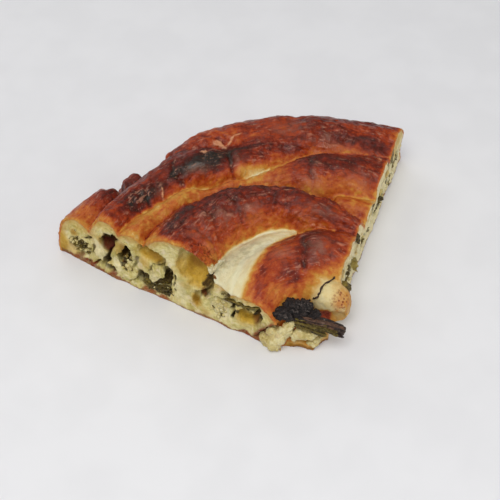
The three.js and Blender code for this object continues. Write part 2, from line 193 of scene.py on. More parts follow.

# Folds in the crust that show one by one: places (angle, radius), half width, rise in mm (grooves are
# negative), and how much they add to the baking, which darkens the grooves partly as painted shade
FOLDS = {
    "outer_groove": ([(1.4, 140), (1.7, 131), (2.3, 124.5)], 1.3, -1.5, 0.16),
    "outer_groove_flank": ([(-0.6, 137), (-0.2, 131), (0.4, 126)], 1.5, 0.8, 0),
    "outer_fold": ([(15.5, 143.5), (18, 135), (16.8, 129)], 1.2, -1.1, 0.12),
    "outer_left_fold": ([(29, 141), (27, 134), (28, 127)], 1.3, -0.8, 0.08),
    "rim_fold": ([(3, 161), (-1, 154), (-3.4, 146)], 1.2, 0.9, -0.06),
    "rim_dark_fold": ([(7, 162), (3, 156), (1.2, 150)], 1.2, -0.9, 0.1),
    "second_fold": ([(-19.4, 121), (-19.6, 112), (-20.4, 104)], 1.2, -0.9, 0.08),
    "third_petal": ([(37, 95), (34.8, 86), (33, 79), (34, 72)], 1.3, -1.1, 0.04),
    "third_petal_inner": ([(31.5, 94), (28.8, 85), (27, 77.5), (28.4, 70.5)], 1.3, -1.2, 0.06),
    "third_cleft": ([(21, 97), (20, 90), (22.5, 83)], 1.2, -1, 0.08),
    "third_cleft_mid": ([(12, 97), (10, 90), (10.5, 82)], 1.2, -0.9, 0.06),
    "third_cleft_right": ([(-2, 94), (-4, 87), (-2.5, 80)], 1.2, -0.8, 0.06),
    "centre_groove": ([(-13.5, 60), (-11.8, 49), (-9.5, 41)], 2, -1.3, 0.1),
    "centre_edge_fold": ([(-30, 64), (-30.5, 54), (-28, 46)], 1.6, -0.8, 0.05),
}

# Torn flakes of pale dough that stand up from the crust, some of which, such as the hook, are painted
# highlights: middle (angle, radius), half length, half width, and the turn from the ropes' direction
FLAKES = {
    "rim_flake": ((2.4, 149.6), 4.2, 1.6, 35),
    "rim_flake_low": ((7.3, 141.6), 3.2, 0.9, 20),
    "rim_streak": ((-1.2, 150.6), 6, 0.8, -25),
    "hook": ((22.6, 131), 3, 0.9, -50),
    "second_end": ((-38.4, 134), 2.4, 1, 40),
}

# The sheet that stays pale between the third rope and the centre: where it starts and ends at each angle, and
# how soon the crust beyond either edge is fully baked
PALE_SHEET = {
    "angles": [-14, -8, 0, 5, 10, 15, 20, 25, 30, 40],
    "inner": [72, 70, 66, 63, 60, 57, 54.5, 52, 50.5, 49],
    "outer": [69, 72, 74.5, 75.5, 75, 74.5, 73, 69.5, 69, 69.5],
    "inner_softness": [4, 5, 6, 7, 8, 10, 11, 12, 13, 15],
    "outer_softness": [8, 8, 8, 7, 6, 5.5, 5, 4, 3.5, 3.5],
}
# Creases between ropes that stay golden rather than dark, and the angle where each one turns dark
GOLDEN_CREASES = {
    ("outer", "second"): -60,
    ("third", "valley"): -12,
    ("valley", "centre"): -12,
    ("third", "centre"): -30,
    ("second", "second_low"): -60,
    ("second_low", "third"): -60,
}

# How much a crease adds to the baking, and its width; dark creases stand partly for burnt dough and partly
# for painted shade where the ropes meet
CREASES = {"dark": 0.2, "golden": -0.16, "width": 1.1}

# The crust stays pale beside the fold at the tip: angle, radius, half sizes, and what it adds to the baking
PALE_CHEEK = (-32, 27, 9, 8)
PALE_CHEEK_GAIN = -0.24
# The oven has speckled the fold itself
SPECKLES = {"at": (19.8, 21.6, 27), "reach": 6.5}

# Spinach stirs a grey green through the pale sheet: angle, radius and half sizes
SHEET_STAIN = (21, 68, 17, 6.5)

# How far the oven has baked the bare base, how dark a bake is painted under the fold as painted shade, and
# the most that it has baked the crust beside each cut
TONGUE_BAKE = 0.3
UNDER_FOLD_SHADE_BAKE = 0.87
LEFT_EDGE_BAKE = 0.33
RIGHT_EDGE_BAKE = 0.2

# Hollows that open at the left-hand cut: middle (radius, height), half sizes, lean in degrees, depth, and how
# much painted shade darkens each one's walls
HOLLOWS = {
    "great": ((77, 38.5), (12.6, 16.5), -8, 13, 0),
    "centre": ((43.8, 18.6), (8.8, 5.6), -12, 9, 0.1),
    "centre_left": ((37.3, 21.8), (2.9, 5.6), -8, 9, 0.9),
    "under_cream": ((58.6, 28), (3.6, 3.4), 10, 3, 0.3),
    "cheese_block": ((63, 14.5), (6, 9.5), 0, 2, 0),
    "second": ((107.2, 7.4), (12.8, 6.2), -4, 13, 0.95),
    "second_mid": ((100, 13.5), (4.4, 7.4), 10, 12, 0.95),
    "second_left_wall": ((100.2, 24.4), (3.8, 6.8), 12, 6, 0.4),
    "second_tip": ((115, 11), (3, 5), 30, 10, 0.9),
    "second_gold": ((108, 34.2), (9.6, 5.8), -4, 11, 0.1),
    "outer_left": ((128.4, 21.5), (4.8, 12), 18, 14, 0.92),
    "outer_roof": ((131.6, 30.8), (7.4, 4.8), -8, 13, 0.75),
    "outer_right": ((138.2, 26.4), (5.8, 8.4), 8, 14, 0.85),
    "outer_foot": ((139.2, 5), (5.8, 3.6), 0, 12, 1),
    "rim_cell": ((160.5, 12.5), (9, 7.4), 0, 4, 0.3),
    "rim_dent": ((163, 23.6), (2.6, 3.2), 0, 1.2, 0),
}
# Cracks at the left-hand cut: places (radius, height), half width, depth, and the painted shade on their
# walls
CRACKS = {
    "great_slot": ([(65.2, 41.4), (67.2, 37.6), (69.6, 33), (71.4, 29.6)], 2.9, 10, 1),
    "great_foot": ([(69.6, 27), (70.4, 21.5), (73.2, 19.4), (76, 18.4)], 1.9, 6, 0.7),
    "great_toe": ([(77, 17), (77.6, 12.5), (78.2, 8.5)], 1.8, 4, 0.15),
    "centre_roof": ([(37.8, 28.4), (44.5, 26), (51, 24.4), (57.5, 23.8)], 1.6, 8, 0.85),
    "centre_drop": ([(53.4, 23), (55.6, 18.4)], 1.2, 6, 0.85),
    "centre_crack": ([(52.6, 17.8), (53.8, 13.6), (55.8, 10.2)], 1.1, 5, 0.9),
    "cream_gap": ([(57, 24.8), (61.8, 22.6)], 0.9, 4, 0.8),
    "cream_eye": ([(57.3, 26.2), (57.7, 24.6)], 0.9, 4, 0.9),
    "curd_crack": ([(27.2, 20.2), (31.5, 14), (35.5, 8.5), (38, 3.6)], 1.2, 4, 0.4),
    "second_side": ([(94.6, 29.6), (95.6, 22), (97.4, 15), (99.2, 9)], 2.2, 14, 1),
    "second_nick": ([(103.6, 27.8), (106.2, 25.2)], 0.9, 4, 0.8),
    "second_split": ([(106.8, 23.2), (109.6, 18.4)], 1, 5, 0.7),
    "wall_crack": ([(91.2, 26.5), (91.6, 20), (93, 14)], 0.8, 3, 0.6),
    "wall_crack_high": ([(98.6, 33.5), (100.4, 29.2)], 0.8, 3, 0.5),
    "outer_crack": ([(137.6, 20.5), (139.2, 16), (141.6, 11), (142.6, 5.5)], 1.7, 9, 0.95),
    "outer_split": ([(118.6, 26), (119.6, 19), (121.6, 14)], 0.8, 3, 0.4),
    "rim_slit": ([(150.6, 25), (153.5, 23.2), (156.6, 21.6)], 1, 4, 0.85),
    "rim_left_slit": ([(149.4, 19), (150.4, 12)], 0.7, 3, 0.5),
    "base_gap": ([(145.5, 8), (148.5, 3.5)], 0.8, 3, 0.5),
    "base_gap_mid": ([(118, 6.5), (124, 3.6)], 0.7, 3, 0.4),
}
# Hollows and cracks that open at the right-hand cut, with painted shade on their walls as at the left
RIGHT_HOLLOWS = {
    "rim_leaf": ((158, 18.5), (6.5, 5.6), 10, 7, 0.7),
    "outer_gap": ((145, 15), (4, 2.2), -20, 6, 0.6),
    "second_leaf": ((121, 15), (8.5, 5), 5, 8, 0.7),
    "second_gap": ((136, 25), (6, 2.2), 15, 7, 0.3),
    "third_leaf": ((86, 14), (7.5, 5.4), 0, 8, 0.7),
    "third_gap": ((99, 22), (4.6, 2), -15, 7, 0.3),
    "third_gold": ((72, 25), (5, 3.2), -15, 8, 0.2),
    "centre_leaf": ((56, 16), (7.6, 5.2), -5, 8, 0.7),
    "centre_gap": ((46, 27), (5, 2.2), 12, 7, 0.3),
}
RIGHT_CRACKS = {
    "rim_slit": ([(165, 24), (169, 20), (171, 15)], 0.8, 4, 0.8),
    "outer_slit": ([(140, 30), (143, 24), (142, 19)], 0.8, 4, 0.8),
    "second_slit": ([(108, 24), (110, 18), (108, 11)], 0.9, 4, 0.8),
    "third_slit": ([(75, 16), (73, 10), (76, 5)], 0.8, 4, 0.8),
    "centre_slit": ([(40, 20), (42, 14), (40, 8)], 0.8, 4, 0.8),
}

# Whoever looks down at the left-hand cut sees a place inside a hollow this much nearer the middle and this
# much higher than it lies, for each mm of depth
SEEN_SHIFT = (0.573, 1.33)
# Where butter or the oven has coloured the cut dough, as seen: middle (radius, height), half sizes, how
# strongly, and the tone from olive yellow (0) to brown (1). Later ones lie over earlier ones. The tone also
# sets the hue of the painted shade in the hollows and cracks there, from olive brown to red brown.
GOLDEN_TINTS = {
    "great": ((76.4, 38), (13.6, 16.5), 1, 0.08),
    "great_brown": ((77, 46.5), (6.4, 7), 1, 0.56),
    "great_brown_point": ((81.6, 41), (2.6, 8), 1, 0.42),
    "great_left_brown": ((70.5, 43), (2.8, 5), 1, 0.25),
    "great_right": ((86.5, 36), (3.6, 10), 0.8, 0.1),
    "great_wall": ((85, 20), (4, 4), 0.45, 0.1),
    "great_crevice": ((71.5, 22), (2.8, 5), 0.9, 0.75),
    "great_foot": ((77.4, 12.4), (3.2, 7), 1, 0.4),
    "second": ((108, 34.8), (10.4, 6.4), 1, 0.3),
    "second_brown": ((105, 35.4), (3.8, 3.4), 0.9, 0.42),
    "second_edge": ((120, 41), (8, 3), 0.6, 0.45),
    "outer_edge": ((141, 42), (9, 4), 0.55, 0.35),
    "second_below": ((112.6, 26.4), (5, 7), 0.5, 0.1),
    "second_right": ((118.5, 33), (3, 4), 0.4, 0.1),
    "tongue": ((131, 27), (3.4, 8), 0.8, 0),
    "outer_crumbs": ((126.6, 15.5), (2.6, 4.6), 0.9, 0.75),
    "outer_left_deep": ((126.5, 27), (4, 8), 1, 0.5),
    "outer_right_deep": ((138.4, 27), (5.4, 9), 1, 1),
    "outer_roof_crumbs": ((134.5, 34.6), (3.8, 1.8), 0.8, 0.6),
    "outer_right_wall": ((143.6, 28), (2, 5.5), 0.65, 0.35),
    "outer_under": ((136.5, 1.5), (4, 2), 0.5, 0.8),
    "rim_spot": ((163, 23.4), (3.6, 4), 0.9, 0.5),
    "rim_low": ((167, 8), (5, 6), 0.6, 0.2),
    "rim_end": ((173, 9), (4.4, 12), 1, 0.36),
    "rim_top": ((158, 29), (6, 3), 0.4, 0.1),
    "centre": ((44.6, 17), (9.4, 7), 1, 0.2),
    "centre_left": ((38.2, 21.5), (3.6, 6.5), 0.95, 0.65),
    "curd_crack": ((33, 12), (6, 10), 0.3, 1),
    "centre_low": ((47, 11.5), (6, 3), 0.45, 0.1),
    "low_block": ((72, 4), (4, 4), 0.5, 0.5),
}
# Where spinach is worked through the cut dough, as seen: middle (radius, height), half sizes and how much
GREEN_TINTS = {
    "rim": ((160.5, 12), (8, 7), 0.47),
    "rim_left": ((151, 14), (3.4, 7), 0.4),
    "second": ((106.5, 6), (13, 5.5), 0.9),
    "second_left": ((99.6, 22), (3.4, 8), 0.5),
    "outer": ((125, 22), (4.4, 9), 0.5),
    "outer_low": ((121, 11.5), (5.5, 7), 0.42),
    "outer_foot": ((129, 5), (5, 4), 0.38),
    "great_foot": ((71, 22), (3.2, 6), 0.5),
    "cream": ((58.8, 28), (4.2, 3.8), 0.55),
    "centre_roof": ((48, 25.4), (11, 2.4), 0.8),
    "centre_low": ((60, 7), (5, 5), 0.35),
    "third_low": ((92.5, 12), (2, 9), 0.42),
    "tip_low": ((31, 10), (5, 6), 0.32),
}
# Where the cut dough is palest, as seen: middle (radius, height), half sizes and how strongly
CREAM_TINTS = {
    "third_wall": ((88.6, 12), (5, 11), 0.55),
    "cheese_block": ((62, 14), (5.5, 8), 1),
    "outer_wall": ((145, 18), (5, 9), 0.6),
    "outer_foot": ((133, 12), (4, 5), 0.6),
    "second_curl": ((106, 15), (4, 7), 0.5),
    "third_shoulder": ((94, 38), (6, 7), 0.3),
    "rim_low": ((168, 8), (4.5, 5), 0.9),
}
# How far the dough at the right-hand cut is paler
RIGHT_CREAM = 0.75
# The slot beside the great hollow, painted dark with painted shade where it is seen, the tone of that shade,
# and the notch where it breaks through the crust
GREAT_SLOT = [(66, 40), (67.4, 37.2), (69.4, 34), (71.4, 29.5)]
SLOT_SHADE_TONE = 0.42
GREAT_NOTCH = ([(66.4, 41), (68, 37.6), (69.8, 34)], 1.8, 6, 1)
# Pale curled sheets that stand in front of the dark, as seen, where the painted shade and the green are taken
# away: middle (radius, height) and half sizes
PALE_TINTS = {
    "second_curl": ((105.8, 15.5), (4.4, 8)),
    "outer_tongue": ((133.2, 19), (3.2, 9)),
    "outer_foot": ((133.4, 10.5), (3.8, 5)),
}
# Golden and green tints at the right-hand cut, where they lie
RIGHT_GOLDEN_TINTS = {
    "second_gap": ((136, 25), (7, 3), 0.7, 0.3),
    "third_gap": ((99, 22), (5.5, 3), 0.7, 0.3),
    "third_gold": ((72, 25), (6, 4), 0.8, 0.4),
    "centre_gap": ((46, 27), (6, 3), 0.7, 0.3),
    "rim_edge": ((160, 32), (14, 7), 0.7, 0.35),
    "outer_edge": ((146, 36), (8, 5), 0.5, 0.3),
}
RIGHT_GREEN_TINTS = {
    "rim": ((158, 18.5), (8, 7), 0.5),
    "rim_lump": ((148, 30), (5, 7), 1.3),
    "outer": ((145, 14), (7, 7), 0.36),
    "outer_fleck": ((144, 10.5), (1.4, 3), 0.9),
    "outer_fleck_up": ((137, 20), (1.3, 3.4), 0.9),
    "second": ((121, 15), (11, 7), 0.4),
    "second_fleck": ((128, 24), (1.5, 3), 0.9),
    "second_lump": ((108, 29), (5, 11), 1.2),
    "third": ((86, 14), (10, 7), 0.45),
    "third_fleck": ((98, 12), (1.6, 3.2), 0.9),
    "centre": ((56, 16), (10, 7), 0.45),
}
# Where the underside is burnt red-brown along the left-hand cut: middle, half length and thickness; and how
# thick it is along the right-hand one
RED_FEET = [
    (39, 3, 6), (46, 5, 4.2), (60, 5, 3), (73, 7, 3.2), (88, 5, 0.9), (101, 5, 2.4), (110, 8, 2.6),
    (132, 9, 3.2), (158, 14, 5.6), (174, 8, 4),
]
RIGHT_FOOT = 1.5

# Sheets of dough that curl inside the hollows: places (radius, height), half thickness, and the depths where
# each starts and ends; at the left-hand cut and at the right-hand cut
CURLS = {
    "outer_tongue": ([(128.4, 33), (129.8, 29.5), (131.6, 25), (133.8, 20), (135.2, 14.5)], 2.3, 0.8, 15),
    "outer_tongue_tip": ([(134, 16), (133.8, 11.5), (133.2, 8.5)], 3.2, 0.4, 13),
    "outer_shred": ([(126.2, 20), (128.6, 16.4), (129.8, 12.4)], 0.8, 2.2, 13),
    "second_curl": ([(103, 24), (104.8, 18), (107.4, 12.4)], 3.3, 0, 14),
    "second_leaf": ([(96.4, 12), (100.4, 8.8), (106, 6), (112, 6.6)], 0.7, 1.6, 13),
    "second_leaf_low": ([(97.4, 6.2), (103, 4.2), (110, 4), (116.5, 6.8)], 0.6, 1, 13),
    "second_floor": ([(95, 3.4), (104, 2.2), (116, 3.4)], 0.9, 0.4, 14),
    "centre_sheet": ([(47, 23.5), (50, 20), (51.5, 15.5)], 1, 0.6, 9),
    "slot_strand": ([(66.4, 42), (69.3, 37), (71, 32)], 0.7, 4, 12),
}
RIGHT_CURLS = {
    "rim_sheet": ([(153, 20), (158, 18), (163, 19.5)], 0.9, 0.6, 8),
    "second_sheet": ([(114, 14), (121, 16.5), (128, 14.5)], 1, 0.6, 9),
    "third_sheet": ([(80, 15), (86, 13.5), (92, 15)], 1, 0.6, 8),
    "centre_sheet": ([(51, 17.5), (57, 15.5), (63, 16.5)], 1, 0.6, 8),
}
# Small pits in both cuts: spacing, largest half size and depth
PITS = ((8.5, 1.6, 3), (4.2, 0.95, 2.0))
# How thick the crust over a hollow and the floor under it stay, and how deep behind a cut anything opens
CRUST_WALL = 0.9
FLOOR_WALL = 1.9
CARVED_DEPTH = 24
# A distance in mm that is farther than anything matters
FAR = 99
# What each knife cut opens, and how the dough is coloured there
CUTS = {
    LEFT: {
        "hollows": HOLLOWS,
        "cracks": CRACKS,
        "notches": [GREAT_NOTCH],
        "curls": CURLS,
        "golden": GOLDEN_TINTS,
        "green": GREEN_TINTS,
        "pale": PALE_TINTS,
    },
    RIGHT: {
        "hollows": RIGHT_HOLLOWS,
        "cracks": RIGHT_CRACKS,
        "notches": [],
        "curls": RIGHT_CURLS,
        "golden": RIGHT_GOLDEN_TINTS,
        "green": RIGHT_GREEN_TINTS,
        "pale": {},
    },
}


def along(stations, t):
    """The value at t (0 to 1) of a smooth line through evenly spaced stations."""
    values = np.asarray(stations, np.float32)
    last = len(values) - 1
    s = np.clip(t, 0, 1) * last
    i = np.minimum(np.floor(s).astype(np.int32), last - 1)
    f = s - i
    run = np.concatenate([[2 * values[0] - values[1]], values, [2 * values[-1] - values[-2]]])
    before, p, q, after = run[i], run[i + 1], run[i + 2], run[i + 3]
    bend = (2 * before - 5 * p + 4 * q - after) * f**2 + (3 * p - before - 3 * q + after) * f**3
    return p + 0.5 * ((q - before) * f + bend)


def smooth(low, high, value):
    t = np.clip((value - low) / (high - low), 0, 1)
    return t * t * (3 - 2 * t)


def near(value, middle, spread):
    return np.exp(-(((value - middle) / spread) ** 2))


def towards(value, target, share):
    return value + share * (target - value)


def spun(a, b, degrees):
    """Two coordinates as measured along axes that are turned by an angle."""
    turn = math.radians(degrees)
    return a * math.cos(turn) + b * math.sin(turn), b * math.cos(turn) - a * math.sin(turn)


def round_middle(x, y):
    """Radius from the pastry's middle, and angle from the slice's middle line."""
    return np.hypot(x, y), np.degrees(np.arctan2(-x, y))


def patch_share(angle, radius, patch):
    """How much a place belongs to a patch of the crust: its angle, radius and half sizes."""
    middle_angle, middle_radius, angle_half, radius_half = patch
    return near(angle, middle_angle, angle_half) * near(radius, middle_radius, radius_half)


def outness(r, z, middle, half):
    """0 in the middle of an oval on a cut and 1 at its edge."""
    return np.hypot((r - middle[0]) / half[0], (z - middle[1]) / half[1])


# Both uneven fields move this far, in wavelengths, from one seed to the next
NOISE_STRIDE = 19.37
CELL_STRIDE = 11.71
# What brings the smooth field to about -1 to 1
NOISE_GAIN = 1.7
RANDOM_TABLE = np.random.default_rng(7)
SHUFFLE = RANDOM_TABLE.permutation(256)
SLOPES = RANDOM_TABLE.normal(size=(256, 3)).astype(np.float32)
SLOPES /= np.linalg.norm(SLOPES, axis=1, keepdims=True)
JITTER = RANDOM_TABLE.random((256, 3)).astype(np.float32)


def cell_number(cell, step):
    x, y, z = (cell[..., k] + step[k] for k in range(3))
    return SHUFFLE[(SHUFFLE[(SHUFFLE[x & 255] + y) & 255] + z) & 255]


def noise(points, wavelength, seed=0):
    """A smooth uneven field between about -1 and 1."""
    p = points / np.asarray(wavelength, np.float32) + np.float32(seed * NOISE_STRIDE)
    cell = np.floor(p).astype(np.int32)
    f = p - cell
    s = f * f * f * (f * (f * 6 - 15) + 10)
    total = 0
    for step in np.ndindex(2, 2, 2):
        slope = SLOPES[cell_number(cell, step)]
        reach = ((f - np.array(step, np.float32)) * slope).sum(-1)
        weight = 1
        for k in range(3):
            weight = weight * (s[..., k] if step[k] else 1 - s[..., k])
        total = total + weight * reach
    return total * NOISE_GAIN


def fractal(points, wavelength, octaves=3, seed=0):
    """An uneven field with finer and weaker ones on it."""
    wavelength = np.asarray(wavelength, np.float32)
    total = sum(0.5**k * noise(points, wavelength / 2**k, seed + k) for k in range(octaves))
    return total / sum(0.5**k for k in range(octaves))


def scattered_points(points, wavelength, seed):
    """The numbers of the random points in the 27 cells round each place, and how far away each is."""
    p = points / np.asarray(wavelength, np.float32) + np.float32(seed * CELL_STRIDE)
    cell = np.floor(p).astype(np.int32)
    for step in np.ndindex(3, 3, 3):
        offset = np.array(step) - 1
        number = cell_number(cell, offset)
        yield number, np.linalg.norm(cell + offset + JITTER[number] - p, axis=-1).astype(np.float32)


def cell_edges(points, wavelength, seed=0):
    """Distance to the borders of random cells, 0 on a border and about 0.5 in a cell's middle."""
    first = np.full(points.shape[:-1], 9, np.float32)
    second = first.copy()
    for _, distance in scattered_points(points, wavelength, seed):
        second = np.minimum(second, np.maximum(first, distance))
        first = np.minimum(first, distance)
    return second - first


def cell_middles(points, wavelength, seed=0):
    """Distance in mm to the nearest of a set of scattered points, and a random number for that point."""
    nearest = np.full(points.shape[:-1], 9, np.float32)
    drawn = np.zeros_like(nearest)
    for number, distance in scattered_points(points, wavelength, seed):
        drawn = np.where(distance < nearest, JITTER[(number + 7) & 255, 0], drawn)
        nearest = np.minimum(nearest, distance)
    return nearest * wavelength, drawn


def plane_waves(seed, shortest, longest, waves=7):
    """The uneven field that the solids use for the same relief, from the same series of numbers."""
    state = seed
    directions, numbers, phases = [], [], []

    def draw():
        nonlocal state
        state = (state * 1664525 + 1013904223) & 0xFFFFFFFF
        return state / 4294967296

    for _ in range(waves):
        direction = np.array([draw() - 0.5, draw() - 0.5, draw() - 0.5])
        numbers.append(2 * math.pi / (shortest + (longest - shortest) * draw()))
        directions.append(direction / np.linalg.norm(direction))
        phases.append(draw() * 2 * math.pi)

    def field(x, y, z):
        total = 0
        for (dx, dy, dz), number, phase in zip(directions, numbers, phases):
            total = total + np.sin((x * dx + y * dy + z * dz) * number + phase)
        return total / math.sqrt(waves)

    return field


crumple = plane_waves(11, 16, 44)
pleats = plane_waves(23, 9, 17)
knife_wander = plane_waves(3, 9, 30)


def blend_low(a, b, fillet):
    """The lower of two distances, rounded where they meet."""
    return np.minimum(a, b) - fillet * np.log1p(np.exp(-np.abs(a - b) / fillet))


def rope_place(rope, angle):
    """How far along a rope an angle lies (0 to 1), how open the rope is there, and where it has run out."""
    first, last = rope["ends"]
    t = (first - angle) / (first - last)
    over = np.zeros_like(angle)
    if first < OVERRUN:
        over = np.maximum(over, angle - (first - END_ROUNDING))
    if last > -OVERRUN:
        over = np.maximum(over, last + END_ROUNDING - angle)
    over = over / END_ROUNDING
    return t, np.sqrt(np.maximum(1 - over**2, LEAST_OPENING)), over > 1


def rope_distance(rope, angle, radius, z, relief):
    """Distance outside a rope, how far across it a place lies (-1 to 1), and how far along."""
    t, opening, gone = rope_place(rope, angle)
    full_half = along(rope["half"], t)
    side = along(rope["side"], t)
    rise = (along(rope["crest"], t) - side) * opening
    across = radius - along(rope["radius"], t)
    up = np.maximum(z - side, 0)
    swell = 1 + np.clip(up / rise, 0, 1) * relief / full_half
    half = full_half * opening * swell
    rise = rise * swell
    k0 = np.hypot(across / half, up / rise)
    k1 = np.hypot(across / half**2, up / rise**2)
    distance = k0 * (k0 - 1) / np.maximum(k1, 1e-5)
    distance = np.where(k0 < 0.1, -np.minimum(half, rise), distance)
    return np.where(gone, FAR, distance), across / half, t


def cut_place(x, y, side):
    """Distance along a knife cut from the pastry's middle, and depth inside the slice from it."""
    a = math.radians(HALF_ANGLE)
    return -side * x * math.sin(a) + y * math.cos(a), side * x * math.cos(a) + y * math.sin(a)


def ellipse_hollow(r, z, depth, spec):
    """Distance outside an oval hollow that narrows inward from a cut."""
    (middle_r, middle_z), (half_r, half_z), lean, reach = spec[:4]
    p, q = spun(r - middle_r, z - middle_z, lean)
    inward = np.maximum(depth, 0) / reach
    k = np.sqrt((p / half_r) ** 2 + (q / half_z) ** 2 + inward**2)
    return (k - 1) * min(half_r, half_z)


def path_distance(r, z, path):
    """Distance from a bent line through places."""
    best = 1e9
    for (r0, z0), (r1, z1) in zip(path[:-1], path[1:]):
        dr, dz = r1 - r0, z1 - z0
        t = np.clip(((r - r0) * dr + (z - z0) * dz) / (dr * dr + dz * dz), 0, 1)
        best = np.minimum(best, np.hypot(r - r0 - t * dr, z - z0 - t * dz))
    return best


def curl_distance(r, z, depth, spec):
    """Distance outside a sheet of dough that runs inward from a cut, a little wavy."""
    path, half, start, end = spec
    wave = 0.6 * np.sin(depth * 0.55 + r * 0.21)
    along_path = path_distance(r + wave, z + 0.5 * wave, path) - half
    return np.maximum(along_path, np.maximum(start - depth, depth - end - 2))


# The fold of dough at the tip, the hollow under it, and where the tip is torn away
FOLD = {"at": (19.6, 26.2, 19.5), "half": (10.2, 7.4, 12.6), "turn": -35, "tilt": 12}
# An egg has a squareness of 2, and a block has more
FOLD_SQUARENESS = 3.0
# How softly the fold runs into the crust, and into the slice once it is cut
FOLD_FILLET = 1.2
CUT_FOLD_FILLET = 1.5
FOLD_UNDERSIDE = {"at": (16.5, 18.2, 14.5), "half": (8.5, 5.5, 8.0), "turn": -30, "tilt": 0}
TORN_CORNER = {"at": (-13.5, 15.5, 6), "half": (7.5, 6.5, 11.5), "turn": 15, "tilt": -20}
TORN_FRONT = {"at": (-7.5, 16.5, 16), "half": (13.0, 6.0, 9.5), "turn": -20, "tilt": 0}


def turned(x, y, z, shape):
    """Places in a shape's own turned axes, as a share of its half sizes."""
    ax, ay, az = shape["at"]
    u, v = spun(x - ax, y - ay, shape["turn"])
    v, w = spun(v, z - az, shape["tilt"])
    hu, hv, hw = shape["half"]
    return u / hu, v / hv, w / hw


def egg_distance(x, y, z, shape, squareness=2.0):
    """Distance outside an egg, or with more squareness a rounded block."""
    sides = [np.abs(side) ** squareness for side in turned(x, y, z, shape)]
    return ((sides[0] + sides[1] + sides[2]) ** (1 / squareness) - 1) * min(shape["half"])


# The baked base: how far in towards the middle it reaches at each angle, its height as a bare tongue, which
# slopes down within a radius, and its height under the ropes
BED = {
    "angles": (-45, -28, -14, 0, 14, 28, 45),
    "inner": (22, 15.5, 11.6, 13.4, 17.0, 20.5, 24),
    "outer": 150,
    "tongue": 5.6,
    "slope": 0.25,
    "slope_within": 18,
    "height": 28,
    "tongue_end": 22,
    "full_from": 34,
}


def tongue_top(radius):
    return BED["tongue"] - BED["slope"] * np.maximum(BED["slope_within"] - radius, 0)


def tongue_edge(x, y, z):
    """How near the middle the torn base reaches."""
    places = np.stack([x, y, 0.5 * z], -1)
    ragged = 0.9 * noise(places, 5, seed=26) + 0.5 * noise(places, 2.3, seed=27)
    return np.interp(round_middle(x, y)[1], BED["angles"], BED["inner"]) + ragged


def bed_distance(x, y, z):
    radius = np.hypot(x, y)
    rising = smooth(BED["tongue_end"], BED["full_from"], radius)
    top = tongue_top(radius) + (BED["height"] - BED["tongue"]) * rising
    edge = tongue_edge(x, y, z) - radius
    return np.maximum(np.maximum(edge, radius - BED["outer"]), (z - top) * 0.8)


def crust_distance(x, y, z):
    """Distance outside the whole crust, as if no knife had cut it; each rope's own; and the fold's."""
    radius, angle = round_middle(x, y)
    pleat = pleats(x, y, z)
    relief = CRUMPLE_DEPTH * crumple(x, y, z) + PLEAT_DEPTH * pleat
    angle = angle + END_WANDER * pleat
    merging = RIM_MERGE["fillet"] * smooth(*RIM_MERGE["angles"], angle)
    total = bed_distance(x, y, z)
    ropes = []
    for name, rope in ROPES.items():
        distance, across, t = rope_distance(rope, angle, radius, z, relief)
        ropes.append((distance, across, t))
        total = blend_low(total, distance, ROPE_FILLET + (merging if name == "outer" else 0))
    fold = egg_distance(x, y, z, FOLD, FOLD_SQUARENESS)
    return blend_low(total, fold, FOLD_FILLET), ropes, fold


# How far the knife wandered, and how the foot of the left-hand cut bows out
KNIFE_WANDER = 0.55
BASE_BOW = {"reach": 2.4, "radius": 128, "spread": 42, "height": 13}


def knife_distance(x, y, z):
    """Distance outside the wedge that the knife left."""
    wander = KNIFE_WANDER * knife_wander(x, y, z)
    r_left, depth_left = cut_place(x, y, LEFT)
    _, depth_right = cut_place(x, y, RIGHT)
    low = np.clip(1 - z / BASE_BOW["height"], 0, 1)
    bow = BASE_BOW["reach"] * low * near(r_left, BASE_BOW["radius"], BASE_BOW["spread"])
    return np.maximum(wander - bow - depth_left, -wander - depth_right)


def crack_distance(r, z, depth, spec):
    """Distance outside a crack that narrows inward from a cut."""
    path, half, reach = spec[:3]
    return path_distance(r, z, path) - half * (1.15 - np.maximum(depth, 0) / reach)


def torn_place(places, r, z):
    """Places on a cut, pushed about so that what opens there has a torn outline."""
    wide_r, wide_z = (1.5 * noise(places, 9, seed=k) for k in (31, 37))
    fine_r, fine_z = (0.7 * noise(places, 3.4, seed=k) for k in (33, 39))
    return r + wide_r + fine_r, z + wide_z + fine_z


def openings(cut, r, z, depth):
    """For each hollow and crack at a cut: the distance outside it, its depth, and how much painted shade
    darkens its walls.
    """
    for spec in cut["hollows"].values():
        yield ellipse_hollow(r, z, depth, spec), *spec[3:]
    for spec in cut["cracks"].values():
        yield crack_distance(r, z, depth, spec), *spec[2:]


def carved(total, crust, x, y, z, side):
    """A distance after what opens at one cut is taken out, and the sheets that curl inside are put back."""
    cut = CUTS[side]
    r, depth = cut_place(x, y, side)
    near_cut = np.flatnonzero(depth < CARVED_DEPTH)
    x, y, z, r, depth, crust = (values[near_cut] for values in (x, y, z, r, depth, crust))
    places = np.stack([x, y, z], -1)
    r, up = torn_place(places, r, z)
    part = total[near_cut]
    hollow = np.full_like(r, FAR)
    for distance, _, _ in openings(cut, r, up, depth):
        hollow = np.minimum(hollow, distance)
    for spacing, largest, deepest in PITS:
        distance, drawn = cell_middles(places, spacing, seed=3)
        pit = distance - largest * (0.25 + 0.75 * drawn) * (1 - np.maximum(depth, 0) / deepest)
        hollow = np.minimum(hollow, np.where(depth < deepest, pit, FAR))
    hollow = np.maximum(np.maximum(hollow, crust + CRUST_WALL), FLOOR_WALL - up)
    for spec in cut["notches"]:
        hollow = np.minimum(hollow, crack_distance(r, up, depth, spec))
    part = np.maximum(part, -hollow)
    inside = np.maximum(-depth, knife_distance(x, y, z))
    for spec in cut["curls"].values():
        part = blend_low(part, np.maximum(curl_distance(r, up, depth, spec), inside), 0.3)
    total = total.copy()
    total[near_cut] = part
    return total


